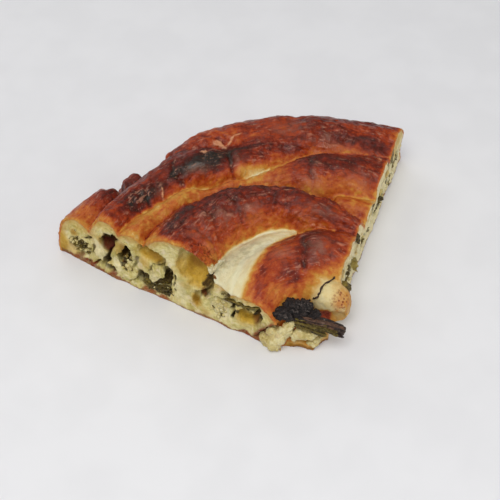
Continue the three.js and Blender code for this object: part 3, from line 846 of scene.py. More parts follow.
def slice_distance(x, y, z):
    """Distance outside the cut slice, hollows and curls included."""
    crust, _, fold = crust_distance(x, y, z)
    total = np.maximum(crust, knife_distance(x, y, z))
    total = blend_low(total, fold, CUT_FOLD_FILLET)
    for side in CUTS:
        total = carved(total, crust, x, y, z, side)
    total = np.maximum(total, -egg_distance(x, y, z, FOLD_UNDERSIDE))
    torn = np.minimum(egg_distance(x, y, z, TORN_CORNER), egg_distance(x, y, z, TORN_FRONT))
    radius = np.hypot(x, y)
    over_base = np.maximum(torn, tongue_edge(x, y, z) - radius)
    torn = np.where(z < tongue_top(radius), over_base, torn)
    total = np.maximum(total, -torn)
    return np.maximum(total, -z)


# A rough grid has one step for this many fine ones, and the fine grid is worked out within this many rough
# steps of the surface, so many places at a time
ROUGH_STEPS = 4
ROUGH_REACH = 1.7
BATCH = 300000


def gridded(distance, low, high, step):
    """A distance on a grid, worked out finely only near its surface."""
    wide = step * ROUGH_STEPS
    low = np.asarray(low, np.float32)
    counts = np.ceil((np.asarray(high) - low) / wide).astype(int)
    rough_axes = [low[k] + wide * np.arange(counts[k] + 1, dtype=np.float32) for k in range(3)]
    rough = distance(*(axis.ravel() for axis in np.meshgrid(*rough_axes, indexing="ij")))
    rough = rough.reshape(counts + 1)
    nearest = np.full(counts, 1e9, np.float32)
    for i, j, k in np.ndindex(2, 2, 2):
        corner = rough[i : i + counts[0], j : j + counts[1], k : k + counts[2]]
        nearest = np.minimum(nearest, np.abs(corner))
    sign = np.where(rough[:-1, :-1, :-1] < 0, -1, 1).astype(np.float32)
    active = nearest < ROUGH_REACH * wide
    for axis in range(3):
        sign = np.repeat(sign, ROUGH_STEPS, axis)
        active = np.repeat(active, ROUGH_STEPS, axis)
    field = sign * 9
    cells = np.argwhere(active)
    for part in np.array_split(cells, max(1, len(cells) // BATCH)):
        x, y, z = (low[k] + step * part[:, k].astype(np.float32) for k in range(3))
        field[tuple(part.T)] = distance(x, y, z)
    return field


def surface_net(field, low, step):
    """Vertices and four-sided faces of the surface where a gridded field is 0."""
    inside = field < 0
    corner = np.zeros(tuple(n - 1 for n in field.shape), np.int8)
    for i, j, k in np.ndindex(2, 2, 2):
        corner += inside[i : i + corner.shape[0], j : j + corner.shape[1], k : k + corner.shape[2]]
    cells = np.argwhere((corner > 0) & (corner < 8))
    number = np.full(corner.shape, -1, np.int64)
    number[tuple(cells.T)] = np.arange(len(cells))
    total = np.zeros((len(cells), 3))
    crossings = np.zeros(len(cells))
    for axis in range(3):
        others = [k for k in range(3) if k != axis]
        for i, j in np.ndindex(2, 2):
            start = cells.copy()
            start[:, others] += (i, j)
            end = start.copy()
            end[:, axis] += 1
            a, b = field[tuple(start.T)], field[tuple(end.T)]
            crossed = (a < 0) != (b < 0)
            place = start.astype(float)
            place[:, axis] += np.where(crossed, a / np.where(crossed, a - b, 1), 0)
            total[crossed] += place[crossed]
            crossings[crossed] += 1
    vertices = low + step * total / crossings[:, None]
    faces = []
    for axis in range(3):
        u, v = (axis + 1) % 3, (axis + 2) % 3
        a = np.take(inside, range(inside.shape[axis] - 1), axis)
        b = np.take(inside, range(1, inside.shape[axis]), axis)
        edges = np.argwhere(a != b)
        for k in (u, v):
            edges = edges[(edges[:, k] > 0) & (edges[:, k] < field.shape[k] - 1)]
        ring = []
        for shift in ((-1, -1), (0, -1), (0, 0), (-1, 0)):
            cell = edges.copy()
            cell[:, [u, v]] += shift
            ring.append(number[tuple(cell.T)])
        ring = np.stack(ring, 1)
        outward = inside[tuple(edges.T)]
        ring[~outward] = ring[~outward][:, ::-1]
        faces.append(ring)
    return vertices, np.concatenate(faces)


def build_mesh(name, vertices, faces, material):
    """A mesh object from places in mm measured from the pastry's middle."""
    places = (np.asarray(vertices, np.float64) - (0, ORIGIN_FROM_CENTRE, 0)) * MM
    faces = np.asarray(faces)
    mesh = bpy.data.meshes.new(name)
    mesh.vertices.add(len(places))
    mesh.vertices.foreach_set("co", places.ravel())
    mesh.loops.add(faces.size)
    mesh.loops.foreach_set("vertex_index", faces.ravel())
    mesh.polygons.add(len(faces))
    mesh.polygons.foreach_set("loop_start", np.arange(len(faces)) * faces.shape[1])
    mesh.polygons.foreach_set("loop_total", np.full(len(faces), faces.shape[1]))
    mesh.update(calc_edges=True)
    mesh.validate()
    mesh.shade_smooth()
    if material:
        mesh.materials.append(material)
    piece = bpy.data.objects.new(name, mesh)
    bpy.context.scene.collection.objects.link(piece)
    return piece


def paint(piece, **layers):
    """Stores a value for each vertex under each name, for the finish to read."""
    for name, values in layers.items():
        layer = piece.data.attributes.new(name, "FLOAT", "POINT")
        layer.data.foreach_set("value", np.asarray(values, np.float32))


def vertex_normals(vertices, faces):
    a, b, c, d = (vertices[faces[:, k]] for k in range(4))
    across = np.cross(c - a, d - b)
    normals = np.zeros_like(vertices)
    for k in range(4):
        np.add.at(normals, faces[:, k], across)
    return normals / np.maximum(np.linalg.norm(normals, axis=1, keepdims=True), 1e-9)


def reckoned(operation, swapped=False):
    """A method that reckons with one or two shader values."""

    def reckon(first, second):
        values = (second, first) if swapped else (first, second)
        return first.finish.add("ShaderNodeMath", {"operation": operation}, dict(enumerate(values)))

    return reckon


class Wire:
    """An output of a shader node, which can be added, multiplied and compared like a number."""

    def __init__(self, finish, socket):
        self.finish = finish
        self.socket = socket

    __add__ = __radd__ = reckoned("ADD")
    __sub__ = reckoned("SUBTRACT")
    __rsub__ = reckoned("SUBTRACT", swapped=True)
    __mul__ = __rmul__ = reckoned("MULTIPLY")
    __pow__ = reckoned("POWER")
    lowest = reckoned("MINIMUM")

    def step(self, low, high):
        """0 below low, 1 above high, and smooth between."""
        limits = {0: self, 1: low, 2: high, 3: 0.0, 4: 1.0}
        return self.finish.add("ShaderNodeMapRange", {"interpolation_type": "SMOOTHSTEP"}, limits)


class Finish:
    """A material in the making."""

    def __init__(self, name):
        self.material = bpy.data.materials.new(name)
        self.material.use_nodes = True
        self.tree = self.material.node_tree
        self.tree.nodes.clear()
        self.place = self.add("ShaderNodeTexCoord", output="Object")

    def add(self, kind, settings=None, inputs=None, output=0):
        node = self.tree.nodes.new(kind)
        for key, value in (settings or {}).items():
            if key == "stops":
                self.set_stops(node.color_ramp, value)
            else:
                setattr(node, key, value)
        for key, value in (inputs or {}).items():
            if isinstance(value, Wire):
                self.tree.links.new(value.socket, node.inputs[key])
            else:
                node.inputs[key].default_value = value
        return None if output is None else Wire(self, node.outputs[output])

    def set_stops(self, ramp, stops):
        while len(ramp.elements) < len(stops):
            ramp.elements.new(0.5)
        for element, (position, colour) in zip(ramp.elements, stops):
            element.position = position
            element.color = shade(colour)

    def layer(self, name):
        return self.add("ShaderNodeAttribute", {"attribute_name": name}, output="Fac")

    def grain(self, wavelength, detail=3.0, roughness=0.5, distortion=0.0, place=None, kind="FBM"):
        """Noise between 0 and 1 whose lumps are about a wavelength in mm."""
        values = {"Vector": place or self.place, "Scale": 1 / (wavelength * MM)}
        values.update({"Detail": detail, "Roughness": roughness, "Distortion": distortion})
        return self.add("ShaderNodeTexNoise", {"noise_type": kind}, values)

    def cells(self, wavelength, feature="DISTANCE_TO_EDGE"):
        """Distance to the borders, or with F1 to the middles, of cells about a wavelength in mm."""
        values = {"Vector": self.place, "Scale": 1 / (wavelength * MM)}
        return self.add("ShaderNodeTexVoronoi", {"feature": feature}, values, output="Distance")

    def stirred(self, wavelength, reach):
        """The object's own places, pushed about by up to a reach in mm."""
        values = {"Vector": self.place, "Scale": 1 / (wavelength * MM)}
        swirl = self.add("ShaderNodeTexNoise", inputs=values, output="Color")
        centred = self.add("ShaderNodeVectorMath", {"operation": "SUBTRACT"}, {0: swirl, 1: (0.5, 0.5, 0.5)})
        values = {0: centred, "Scale": 2 * reach * MM}
        pushed = self.add("ShaderNodeVectorMath", {"operation": "SCALE"}, values)
        return self.add("ShaderNodeVectorMath", {"operation": "ADD"}, {0: self.place, 1: pushed})

    def ramp(self, value, stops):
        return self.add("ShaderNodeValToRGB", {"stops": stops}, {"Fac": value})

    def mix(self, share, first, second):
        """The first colour, with a share of the second laid over it."""
        colours = [value if isinstance(value, Wire) else shade(value) for value in (first, second)]
        values = {0: share, 6: colours[0], 7: colours[1]}
        return self.add("ShaderNodeMix", {"data_type": "RGBA"}, values, output=2)

    def laid_over(self, colour, *layers):
        """A colour with others laid over it in turn, each with its own share."""
        for share, tint in layers:
            colour = self.mix(share, colour, tint)
        return colour

    def bump(self, height, depth, strength=1.0, under=None):
        values = {"Height": height, "Distance": depth * MM, "Strength": strength}
        if under:
            values["Normal"] = under
        return self.add("ShaderNodeBump", inputs=values)

    def done(self, **values):
        """The material, with a value for each named socket of its surface."""
        inputs = {key.replace("_", " "): value for key, value in values.items()}
        surface = self.add("ShaderNodeBsdfPrincipled", inputs=inputs)
        self.add("ShaderNodeOutputMaterial", inputs={"Surface": surface}, output=None)
        return self.material


def shade(code):
    """A colour as linear values from its six-digit screen code."""
    parts = [int(code[k : k + 2], 16) / 255 for k in (1, 3, 5)]
    linear = [c / 12.92 if c <= 0.04045 else ((c + 0.055) / 1.055) ** 2.4 for c in parts]
    return (*linear, 1.0)


# How far the dough is baked, as colours from raw to burnt
BAKING = [
    (0.0, "#e2dab5"),
    (0.14, "#ddc78c"),
    (0.3, "#c8913c"),
    (0.45, "#b96224"),
    (0.6, "#9c370c"),
    (0.75, "#6b1b05"),
    (0.88, "#441306"),
    (1.0, "#272019"),
]
# The colours of the painted sheen on the blisters, as the crust is more baked
SHEEN_COLOURS = [(0.2, "#dcc48c"), (0.45, "#cd8a56"), (0.65, "#b06a52"), (0.85, "#85604f"), (1.0, "#a39b94")]
DOUGH = [(0.3, "#9a8c40"), (0.43, "#c8b86e"), (0.55, "#e1d498"), (0.68, "#eee5be")]
GOLDEN = [(0.3, "#a27c1a"), (0.5, "#caa136"), (0.7, "#e2c25c")]
CHEESE = [(0.3, "#b19f58"), (0.48, "#d6ca93"), (0.68, "#e9e1bd")]
SPINACH = [(0.3, "#281c05"), (0.5, "#503f12"), (0.72, "#84702c"), (0.95, "#b8a458")]
CURD = [(0.32, "#a08c46"), (0.45, "#c5b26f"), (0.62, "#dfd39f")]
SCORCHED_FOOT = [(0.32, "#4a1509"), (0.5, "#7e3014"), (0.68, "#a8703c")]
CHAR = [(0.35, "#0a0706"), (0.52, "#1f1715"), (0.75, "#55463f")]


def dough_finish():
    """Baked crust over pale layered dough, golden where butter lines a hollow, with painted sheen and glints
    on the crust and painted shade in the hollows.
    """
    finish = Finish("baked_dough")
    names = ("bake", "crust", "gold", "dark", "speckled", "stain", "tone", "foot", "blister", "flake")
    bake, crust, gold, dark, speckled, stain, tone, foot, blister, flake = map(finish.layer, names)
    cream, green, across, around, under = map(finish.layer, ("cream", "green", "across", "around", "under"))
    lie = finish.add("ShaderNodeCombineXYZ", inputs={0: across, 1: around * 0.22, 2: under * MM})
    sheet = finish.add("ShaderNodeCombineXYZ", inputs={0: across * 0.16, 1: around * 0.16, 2: under * MM})
    broad = finish.grain(17, 4.0, 0.55)
    fine = finish.grain(3.4, 5.0, 0.6)
    wrinkles = finish.grain(3.2, 4.0, 0.55, 0.6, place=lie)
    threads = finish.grain(1.3, 3.0, 0.5, 0.4, place=lie)
    layers = finish.grain(1.15, 3.0, 0.55, 0.3, place=sheet)
    creased = finish.grain(7.5, 4.0, 0.5, 0.8, place=lie, kind="RIDGED_MULTIFRACTAL") ** 0.5
    mottle = fine * 0.6 + broad * 0.4

    lively = 0.3 + 0.7 * bake.step(0.12, 0.45)
    spread = (broad - 0.5) * 0.42 + (fine - 0.5) * 0.5 + (wrinkles - 0.5) * 0.4
    # Painted sheen: the blisters are painted paler and rosier, broken up by the wrinkles
    painted_sheen = blister * fine.step(0.3, 0.56) * (0.45 + 0.55 * wrinkles.step(0.4, 0.6))
    speckles = speckled ** 0.5 * (1 - finish.cells(1.8, "F1").step(0.3, 0.48))
    freckles = (1 - finish.cells(1.9, "F1").step(0.05, 0.32)) * fine.step(0.42, 0.6) * bake.step(0.25, 0.5)
    # Painted glints: small pale pink specks where the crust is well baked
    glints = (1 - finish.cells(1.5, "F1").step(0.08, 0.3)) * broad.step(0.42, 0.6) * bake.step(0.4, 0.6)
    # Painted shade: thin dark lines in the valleys of the wrinkles
    valley_shade = (1 - creased.step(0.0, 0.09)) * bake.step(0.45, 0.66)
    # Painted highlights: pale streaks along the ridges of the wrinkles
    highlight_streaks = threads.step(0.53, 0.66) * creased.step(0.1, 0.3) * bake.step(0.4, 0.6)
    baked = finish.laid_over(
        finish.ramp(bake + lively * spread, BAKING),
        (painted_sheen * 0.62, finish.ramp(bake, SHEEN_COLOURS)),
        (speckled * (0.25 + 0.35 * fine.step(0.4, 0.6)), "#b5602c"),
        (speckles * 0.9, "#7c2810"),
        (freckles * 0.45, "#3d140a"),
        (glints * wrinkles.step(0.42, 0.56) * 0.55, "#c08468"),
        (valley_shade * 0.4, "#3f1208"),
        (highlight_streaks * broad.step(0.38, 0.56) * 0.45, "#c88c70"),
        # Pale torn flakes, some of them painted highlights
        (flake * fine.step(0.3, 0.5) * 0.8, "#d69a70"),
        (stain * (0.3 + 0.55 * fine.step(0.4, 0.65)), "#a39c7c"),
    )

    tinge = finish.grain(9, 3.0, 0.6, place=finish.stirred(12, 6))
    rosy = finish.grain(6, 3.0, 0.55, place=finish.stirred(9, 4))
    deep = under + (fine - 0.5) * 3
    gold = (gold + (fine - 0.5) * gold * 0.3).lowest(1.0)
    leafy = finish.grain(3.2, 4.0, 0.62, place=finish.stirred(5, 2.5))
    spinach = (green + (leafy - 0.5) * 2.2).step(0.55, 0.75)
    dough = finish.laid_over(
        finish.ramp(layers * 0.35 + fine * 0.4 + broad * 0.25, DOUGH),
        (tinge.step(0.52, 0.68) * 0.5, "#a39a4c"),
        ((1 - tinge.step(0.32, 0.46)) * 0.4, "#d2a655"),
        (rosy.step(0.55, 0.7) * 0.5, "#ecd9be"),
        ((1 - deep.step(0.8, 7.5)) * 0.7, "#c39646"),
        ((1 - deep.step(0.2, 2.4)) * 0.85, "#b0682a"),
        (cream * (0.6 + 0.4 * fine.step(0.35, 0.6)), "#efe3bb"),
        (gold, finish.mix(tone.step(0.15, 0.85), finish.ramp(mottle, GOLDEN), "#7d440f")),
        (spinach * 0.85, finish.ramp(finish.grain(1.5, 4.0, 0.6), SPINACH)),
        (foot * (0.7 + 0.3 * fine.step(0.4, 0.6)), finish.ramp(mottle, SCORCHED_FOOT)),
        # Painted shade in the hollows and cracks, from olive brown to red brown by the tone
        (
            (dark * (0.7 + 0.5 * fine.step(0.3, 0.6))).lowest(0.95),
            finish.mix(tone.step(0.4, 0.9), "#3a290c", "#561b0c"),
        ),
    )
    share = (crust + (fine - 0.5) * 0.5).step(0.34, 0.62)

    height = creased * 0.45 + wrinkles * 0.5 + threads * 0.2 + finish.grain(1.0, 4.0, 0.6) * 0.3
    crisp = finish.bump(height * share, 1.5, 0.95)
    torn = layers * 0.35 + finish.grain(1.6, 5.0, 0.62) * 0.8
    oily = broad.step(0.36, 0.62) * bake.step(0.3, 0.6)
    return finish.done(
        Base_Color=finish.mix(share, dough, baked),
        Roughness=0.6 - share * (0.16 + 0.16 * oily),
        Coat_Weight=share * (0.01 + 0.06 * oily) + gold * 0.04,
        Coat_Roughness=0.25,
        Subsurface_Weight=0.06,
        Subsurface_Radius=(0.004, 0.0025, 0.0012),
        Specular_IOR_Level=0.22,
        Normal=finish.bump(torn * (1 - share), 1.1, 0.9, under=crisp),
    )


def filling_finish(name):
    """White cheese worked through with cooked spinach, with painted shade laid over it in places."""
    finish = Finish(name)
    place = finish.stirred(6, 3)
    fine = finish.grain(2.2, 4.0, 0.6, place=place)
    leaf = finish.ramp(finish.grain(1.4, 4.0, 0.6), SPINACH)
    patches = finish.grain(4.2, 3.0, 0.6, place=place)
    share = (finish.layer("green") + (patches - 0.5) * 1.6).step(0.42, 0.58)
    colour = finish.mix(share, finish.ramp(fine, CHEESE), leaf)
    # Painted shade, from olive brown to ruddy by the ruddy attribute
    shadow = finish.mix(finish.layer("ruddy"), "#3f2c0c", "#5a1d0c")
    deep = (finish.layer("deep") * (0.7 + 0.5 * fine.step(0.35, 0.6))).lowest(0.95)
    height = finish.grain(1.5, 5.0, 0.65) + finish.cells(2.1).step(0, 0.3) * 0.4
    return finish.done(
        Base_Color=finish.mix(deep, colour, shadow),
        Roughness=0.62 - 0.15 * share,
        Coat_Weight=0.03 + 0.04 * share,
        Coat_Roughness=0.3,
        Specular_IOR_Level=0.18,
        Subsurface_Weight=0.05,
        Subsurface_Radius=(0.003, 0.002, 0.001),
        Normal=finish.bump(height, 0.8, 0.8),
    )


def curd_finish(name):
    """Crumbly white cheese."""
    finish = Finish(name)
    fine = finish.grain(1.6, 5.0, 0.62)
    colour = finish.ramp(fine * 0.6 + finish.grain(9) * 0.4, CURD)
    colour = finish.mix(finish.layer("toast") * fine.step(0.35, 0.6), colour, "#a8742f")
    height = fine + finish.cells(1.9).step(0, 0.35) * 0.5
    return finish.done(
        Base_Color=colour,
        Roughness=0.58,
        Coat_Weight=0.08,
        Subsurface_Weight=0.08,
        Subsurface_Radius=(0.004, 0.003, 0.0015),
        Normal=finish.bump(height, 0.55, 0.7),
    )


def leaf_finish(name):
    """Cooked spinach, dark and a little oily."""
    finish = Finish(name)
    fine = finish.grain(1.8, 5.0, 0.62)
    colour = finish.ramp(fine * 0.7 + finish.layer("tone") * 0.5 - 0.1, SPINACH)
    veins = finish.cells(2.4)
    colour = finish.mix((1 - veins.step(0, 0.12)) * 0.35, colour, "#8a8042")
    return finish.done(
        Base_Color=colour,
        Roughness=0.48 + 0.2 * fine,
        Coat_Weight=0.08,
        Coat_Roughness=0.25,
        Specular_IOR_Level=0.25,
        Normal=finish.bump(fine + veins.step(0, 0.2) * 0.3, 0.5, 0.8),
    )


def char_finish(name):
    """Spinach burnt black, ashy on its ridges; the grey ash patches also stand for painted glints."""
    finish = Finish(name)
    fine = finish.grain(1.3, 6.0, 0.7)
    ash_and_glints = finish.grain(5, 3.0, 0.6).step(0.5, 0.68) * fine.step(0.45, 0.62)
    browned = finish.layer("browned") * fine.step(0.25, 0.6)
    layers = (ash_and_glints * 0.6, "#857a73"), (browned * 0.85, "#7a5640")
    colour = finish.laid_over(finish.ramp(fine, CHAR), *layers)
    height = fine + finish.cells(1.7).step(0, 0.3) * 0.5
    return finish.done(
        Base_Color=colour,
        Roughness=0.45 + 0.3 * fine,
        Coat_Weight=0.04,
        Specular_IOR_Level=0.3,
        Normal=finish.bump(height, 0.6, 0.9),
    )


def floor_finish():
    finish = Finish("pale_floor")
    return finish.done(
        Base_Color=finish.ramp(finish.grain(40, 2.0), [(0.4, "#e4e4e6"), (0.6, "#e7e7e9")]),
        Roughness=0.7,
    )


def rope_mix(ropes, values):
    """A value for each rope, blended where ropes meet."""
    distances = np.array([distance for distance, _, _ in ropes])
    shares = np.exp(-(distances - distances.min(0)) / ROPE_BLUR)
    return sum(share * value for share, value in zip(shares, values)) / sum(shares)


def rope_baking(rope, across, t):
    """How far a rope is baked, on its crest and on either flank."""
    crest = 1 - smooth(0.3, 0.95, np.abs(across))
    flank = np.where(across < 0, along(rope["near"], t), along(rope["far"], t))
    return crest * along(rope["top"], t) + (1 - crest) * flank


def crease_baking(angle, ropes):
    """What the creases between ropes add to the baking: dark ones, partly as painted shade, and golden ones.
    """
    distances = np.array([distance for distance, _, _ in ropes])
    order = np.argsort(distances, axis=0)
    gap = np.take_along_axis(distances, order[1:2], 0)[0] - distances.min(0)
    names = list(ROPES)

    def between(*pair):
        numbers = [names.index(name) for name in pair]
        return np.isin(order[0], numbers) & np.isin(order[1], numbers)

    golden = np.zeros_like(angle, bool)
    for pair, until in GOLDEN_CREASES.items():
        golden |= between(*pair) & (angle > until)
    open_crease = np.where(between("rim", "outer"), 1 - smooth(*RIM_MERGE["angles"], angle), 1)
    return np.where(golden, CREASES["golden"], CREASES["dark"]) * open_crease * near(gap, 0, CREASES["width"])


def sheet_limit(places, radius, angle):
    """The most that the crust can be baked: hardly at all on the pale sheet, and fully beyond its edges."""
    keys = ("inner", "outer", "inner_softness", "outer_softness")
    inner, outer, softness, outer_softness = (
        np.interp(angle, PALE_SHEET["angles"], PALE_SHEET[key]) for key in keys
    )
    wander = 0.9 * fractal(places, 9, 3, seed=71)
    middle = (inner + outer) / 2
    from_inner = np.where(radius < middle, (inner - radius + wander) / softness, FAR)
    from_outer = np.where(radius >= middle, (radius - outer + wander) / outer_softness, FAR)
    reach = np.minimum(from_inner, from_outer) + 3 * smooth(-11, -15, angle)
    return 0.05 + 0.34 * smooth(-0.12, 0.22, reach) + 0.7 * smooth(0.1, 1.3, reach)


def baking_at(x, y, z):
    """How far the crust is baked at each place."""
    radius, angle = round_middle(x, y)
    _, ropes, _ = crust_distance(x, y, z)
    bakes = [rope_baking(rope, across, t) for rope, (_, across, t) in zip(ROPES.values(), ropes)]
    bake = rope_mix(ropes, bakes)
    for *patch, gain in SCORCHES.values():
        bake = bake + gain * patch_share(angle, radius, patch)
    bake = np.minimum(bake, sheet_limit(np.stack([x, y, z], -1), radius, angle))
    return bake + crease_baking(angle, ropes)


def fold_distance(angle, radius, path):
    """Distance in mm over the crust from a line through places (angle, radius)."""
    middle = np.mean([r for _, r in path])
    line = [(math.radians(a) * middle, r) for a, r in path]
    return path_distance(np.radians(angle) * middle, radius, line)


def folded(places):
    """How far folds, blisters and flakes lift the crust, what folds add to the baking, and how far each place
    belongs to a blister with its painted sheen and to a flake, some flakes being painted highlights."""
    x, y, _ = places.T
    wander = np.stack([noise(places, 6, seed=k) for k in (61, 62)], -1)
    radius, angle = round_middle(x, y)
    radius = radius + 1.3 * wander[:, 0]
    angle = angle + np.degrees(1.3 * wander[:, 1] / radius)
    lift, bake, blister, flake = (np.zeros_like(x) for _ in range(4))
    for path, half, rise, gain in FOLDS.values():
        share = near(fold_distance(angle, radius, path), 0, half)
        lift += rise * share
        bake += gain * share
    for patch in SHEEN_BLISTERS.values():
        blister = np.maximum(blister, patch_share(angle, radius, patch))
    ragged = 0.5 * noise(places, 2.6, seed=64)
    for (middle_angle, middle_radius), length, width, turn in FLAKES.values():
        along_rope = np.radians(angle - middle_angle) * middle_radius
        u, v = spun(along_rope, radius - middle_radius, turn)
        flake = np.maximum(flake, 1 - smooth(0.75, 1.1, np.hypot(u / length, v / width) + ragged))
    return lift + 0.5 * blister + 0.7 * flake, bake, blister, flake


def wrinkling(x, y, z):
    """How strongly the crust is wrinkled at each place."""
    _, ropes, _ = crust_distance(x, y, z)
    return rope_mix(ropes, [rope["wrinkled"] for rope in ROPES.values()])


def fold_baking(x, y, z):
    """The fold at the tip is pale where it is tucked in, and orange on the side that the oven reached."""
    u, _, w = turned(x, y, z, FOLD)
    side = 0.2 * smooth(-0.2, 0.5, u + 0.2 * w) + 0.2 * smooth(0.55, 1.0, u)
    return 0.08 + side + 0.14 * smooth(-0.3, -0.9, w)


def cut_colours(places):
    """How golden, brown, green and pale the dough is at the two cuts and inside the hollows, and how dark its
    painted shade is.
    """
    x, y, z = places.T
    layers = {name: np.zeros_like(x) for name in ("gold", "tone", "green", "dark", "cream", "slot")}
    for side, cut in CUTS.items():
        r, depth = cut_place(x, y, side)
        reached = 1 - smooth(14, 20, depth)
        r, up = torn_place(places, r, z)
        inward = np.maximum(depth, 0) * (side == LEFT)
        seen = (r - SEEN_SHIFT[0] * inward, up + SEEN_SHIFT[1] * inward)
        for middle, half, strength, tone in cut["golden"].values():
            share = reached * (1 - smooth(0.4, 1.25, outness(*seen, middle, half)))
            layers["gold"] = towards(layers["gold"], np.maximum(strength, layers["gold"]), share)
            layers["tone"] = towards(layers["tone"], tone, share)
        for middle, half, strength in cut["green"].values():
            share = reached * (1 - smooth(0.5, 1.25, outness(*seen, middle, half)))
            layers["green"] = np.maximum(layers["green"], share * strength)
        # Painted shade on the walls of each hollow and crack, darker deeper in
        for distance, reach, shadow in openings(cut, r, up, depth):
            within = (1 - smooth(0.5, 2.2, distance)) * smooth(0.1, 1.6, depth) * (1 - smooth(22, 26, depth))
            deeper = 0.5 + 0.5 * smooth(0.8, reach * 0.5, depth)
            layers["dark"] = np.maximum(layers["dark"], within * shadow * deeper)
        for middle, half in cut["pale"].values():
            share = (1 - smooth(0.7, 1.2, outness(*seen, middle, half))) * (1 - smooth(2.0, 5.0, depth))
            layers["dark"] *= 1 - share
            layers["green"] *= 1 - share
        if side == LEFT:
            # The slot is painted dark as painted shade, where it is seen
            slot = 1 - smooth(1.5, 2.8, path_distance(*seen, GREAT_SLOT))
            slot = slot * smooth(0.2, 1.4, depth) * reached
            layers["dark"] = np.maximum(layers["dark"], slot)
            layers["tone"] = towards(layers["tone"], SLOT_SHADE_TONE, slot)
            layers["slot"] = slot
            for middle, half, strength in CREAM_TINTS.values():
                share = reached * (1 - smooth(0.5, 1.3, outness(*seen, middle, half)))
                layers["cream"] = np.maximum(layers["cream"], share * strength)
        else:
            layers["cream"] = np.maximum(layers["cream"], RIGHT_CREAM * (1 - smooth(2, 6, depth)))
    return layers


def crumpled(places, radius, around):
    """The wrinkles of thin baked dough: sharp little ridges that mostly run across the ropes."""
    stir = np.stack([noise(places, 14, seed=k) for k in (1, 2, 3)], -1)
    lie = np.stack([radius * 0.55, around * 1.25, places[:, 2] * 0.6], -1) + 4.5 * stir
    folds = 0.32 - np.abs(noise(lie, 10, seed=9))
    crossing = 0.3 - np.abs(noise(places + 3 * stir, 8, seed=12))
    facets = np.minimum(cell_edges(places + 2.5 * stir, 7, seed=23), 0.3) - 0.2
    fine = 0.3 - np.abs(noise(places + 2 * stir, 3.6, seed=14))
    return 0.9 * folds + 0.9 * crossing + 2.2 * facets + 0.5 * fine


def torn_relief(places):
    """How dough looks where it was cut or torn: upright folds of its layers, and crumbs."""
    x, y, z = places.T
    r_left, left = cut_place(x, y, LEFT)
    r_right, right = cut_place(x, y, RIGHT)
    r = np.where(left < right, r_left, r_right)
    stir = 1.6 * np.stack([noise(places, 8, seed=13)] * 3, -1)
    leaning = np.stack([r + 0.35 * z, 0.3 * z, np.minimum(left, right)], -1) + stir
    layers = 0.3 - np.abs(noise(leaning, (4.6, 4.6, 8), seed=17))
    crumbs = np.abs(noise(places, 3.4, seed=19)) + 0.5 * np.abs(noise(places, 1.9, seed=20))
    return 1.3 * layers + 0.7 * crumbs - 0.5


def lighter(vertices, faces, triangles):
    """The same surface with fewer, uneven triangles: fine where it bends and coarse where it is flat."""
    piece = build_mesh("whole", vertices, faces, None)
    thin = piece.modifiers.new("thin", "DECIMATE")
    thin.ratio = min(1, triangles / (2 * len(faces)))
    mesh = piece.evaluated_get(bpy.context.evaluated_depsgraph_get()).to_mesh()
    mesh.calc_loop_triangles()
    places = np.empty(len(mesh.vertices) * 3)
    mesh.vertices.foreach_get("co", places)
    corners = np.empty(len(mesh.loop_triangles) * 3, np.int32)
    mesh.loop_triangles.foreach_get("vertices", corners)
    piece_mesh = piece.data
    bpy.data.objects.remove(piece)
    bpy.data.meshes.remove(piece_mesh)
    return places.reshape(-1, 3) / MM + (0, ORIGIN_FROM_CENTRE, 0), corners.reshape(-1, 3)


def fleshed(name, distance, low, high, step, material, grit=0.0, wavelength=4):
    """A piece from a distance, roughened along its normals, with its vertices' places."""
    vertices, faces = surface_net(gridded(distance, low, high, step), np.asarray(low), step)
    if grit:
        normals = vertex_normals(vertices, faces)
        rough = fractal(vertices.astype(np.float32), wavelength, 3, seed=5)
        vertices = vertices + normals * (grit * rough)[:, None]
        vertices[:, 2] = np.maximum(vertices[:, 2], 0)
    return build_mesh(name, vertices, faces, material), vertices.astype(np.float32)


def make_pastry():
    """The whole baked slice: its smooth form, then the relief of the crust and of the cuts."""
    low, high = (-119, -1, -1.2), (119, 180, 60)
    field = gridded(slice_distance, low, high, GRID_STEP)
    vertices, faces = surface_net(field, np.asarray(low), GRID_STEP)
    normals = vertex_normals(vertices, faces)
    places = vertices.astype(np.float32)
    x, y, z = places.T
    crust, _ = crust_share(x, y, z)
    radius = np.hypot(x, y)
    around = np.arctan2(-x, y) * radius
    relief = wrinkling(x, y, z) * crumpled(places, radius, around) + 0.2 * fractal(places, 5.5, 3, seed=5)
    relief = relief + folded(places)[0]
    torn = torn_relief(places) * (1 - 0.75 * cut_colours(places)["gold"])
    push = (crust * relief + (1 - crust) * torn) * smooth(0.0, 1.2, z)
    vertices = vertices + normals * push[:, None]
    vertices[:, 2] = np.maximum(vertices[:, 2], 0)
    vertices, faces = lighter(vertices, faces, PASTRY_TRIANGLES)
    piece = build_mesh("pastry_dough", vertices, faces, dough_finish())
    paint(piece, **pastry_layers(vertices.astype(np.float32)))
    return piece


def crust_share(x, y, z):
    """1 on the crust and 0 inside, and how far under the crust each place is."""
    total, _, fold = crust_distance(x, y, z)
    on_fold = 1 - smooth(0.4, 1.6, fold)
    from_cut = np.minimum(cut_place(x, y, LEFT)[1], cut_place(x, y, RIGHT)[1])
    thicker = 1.2 * smooth(0.8, 3.0, from_cut)
    return np.maximum(1 - smooth(0.7, 2.2, -total - thicker), on_fold), -total


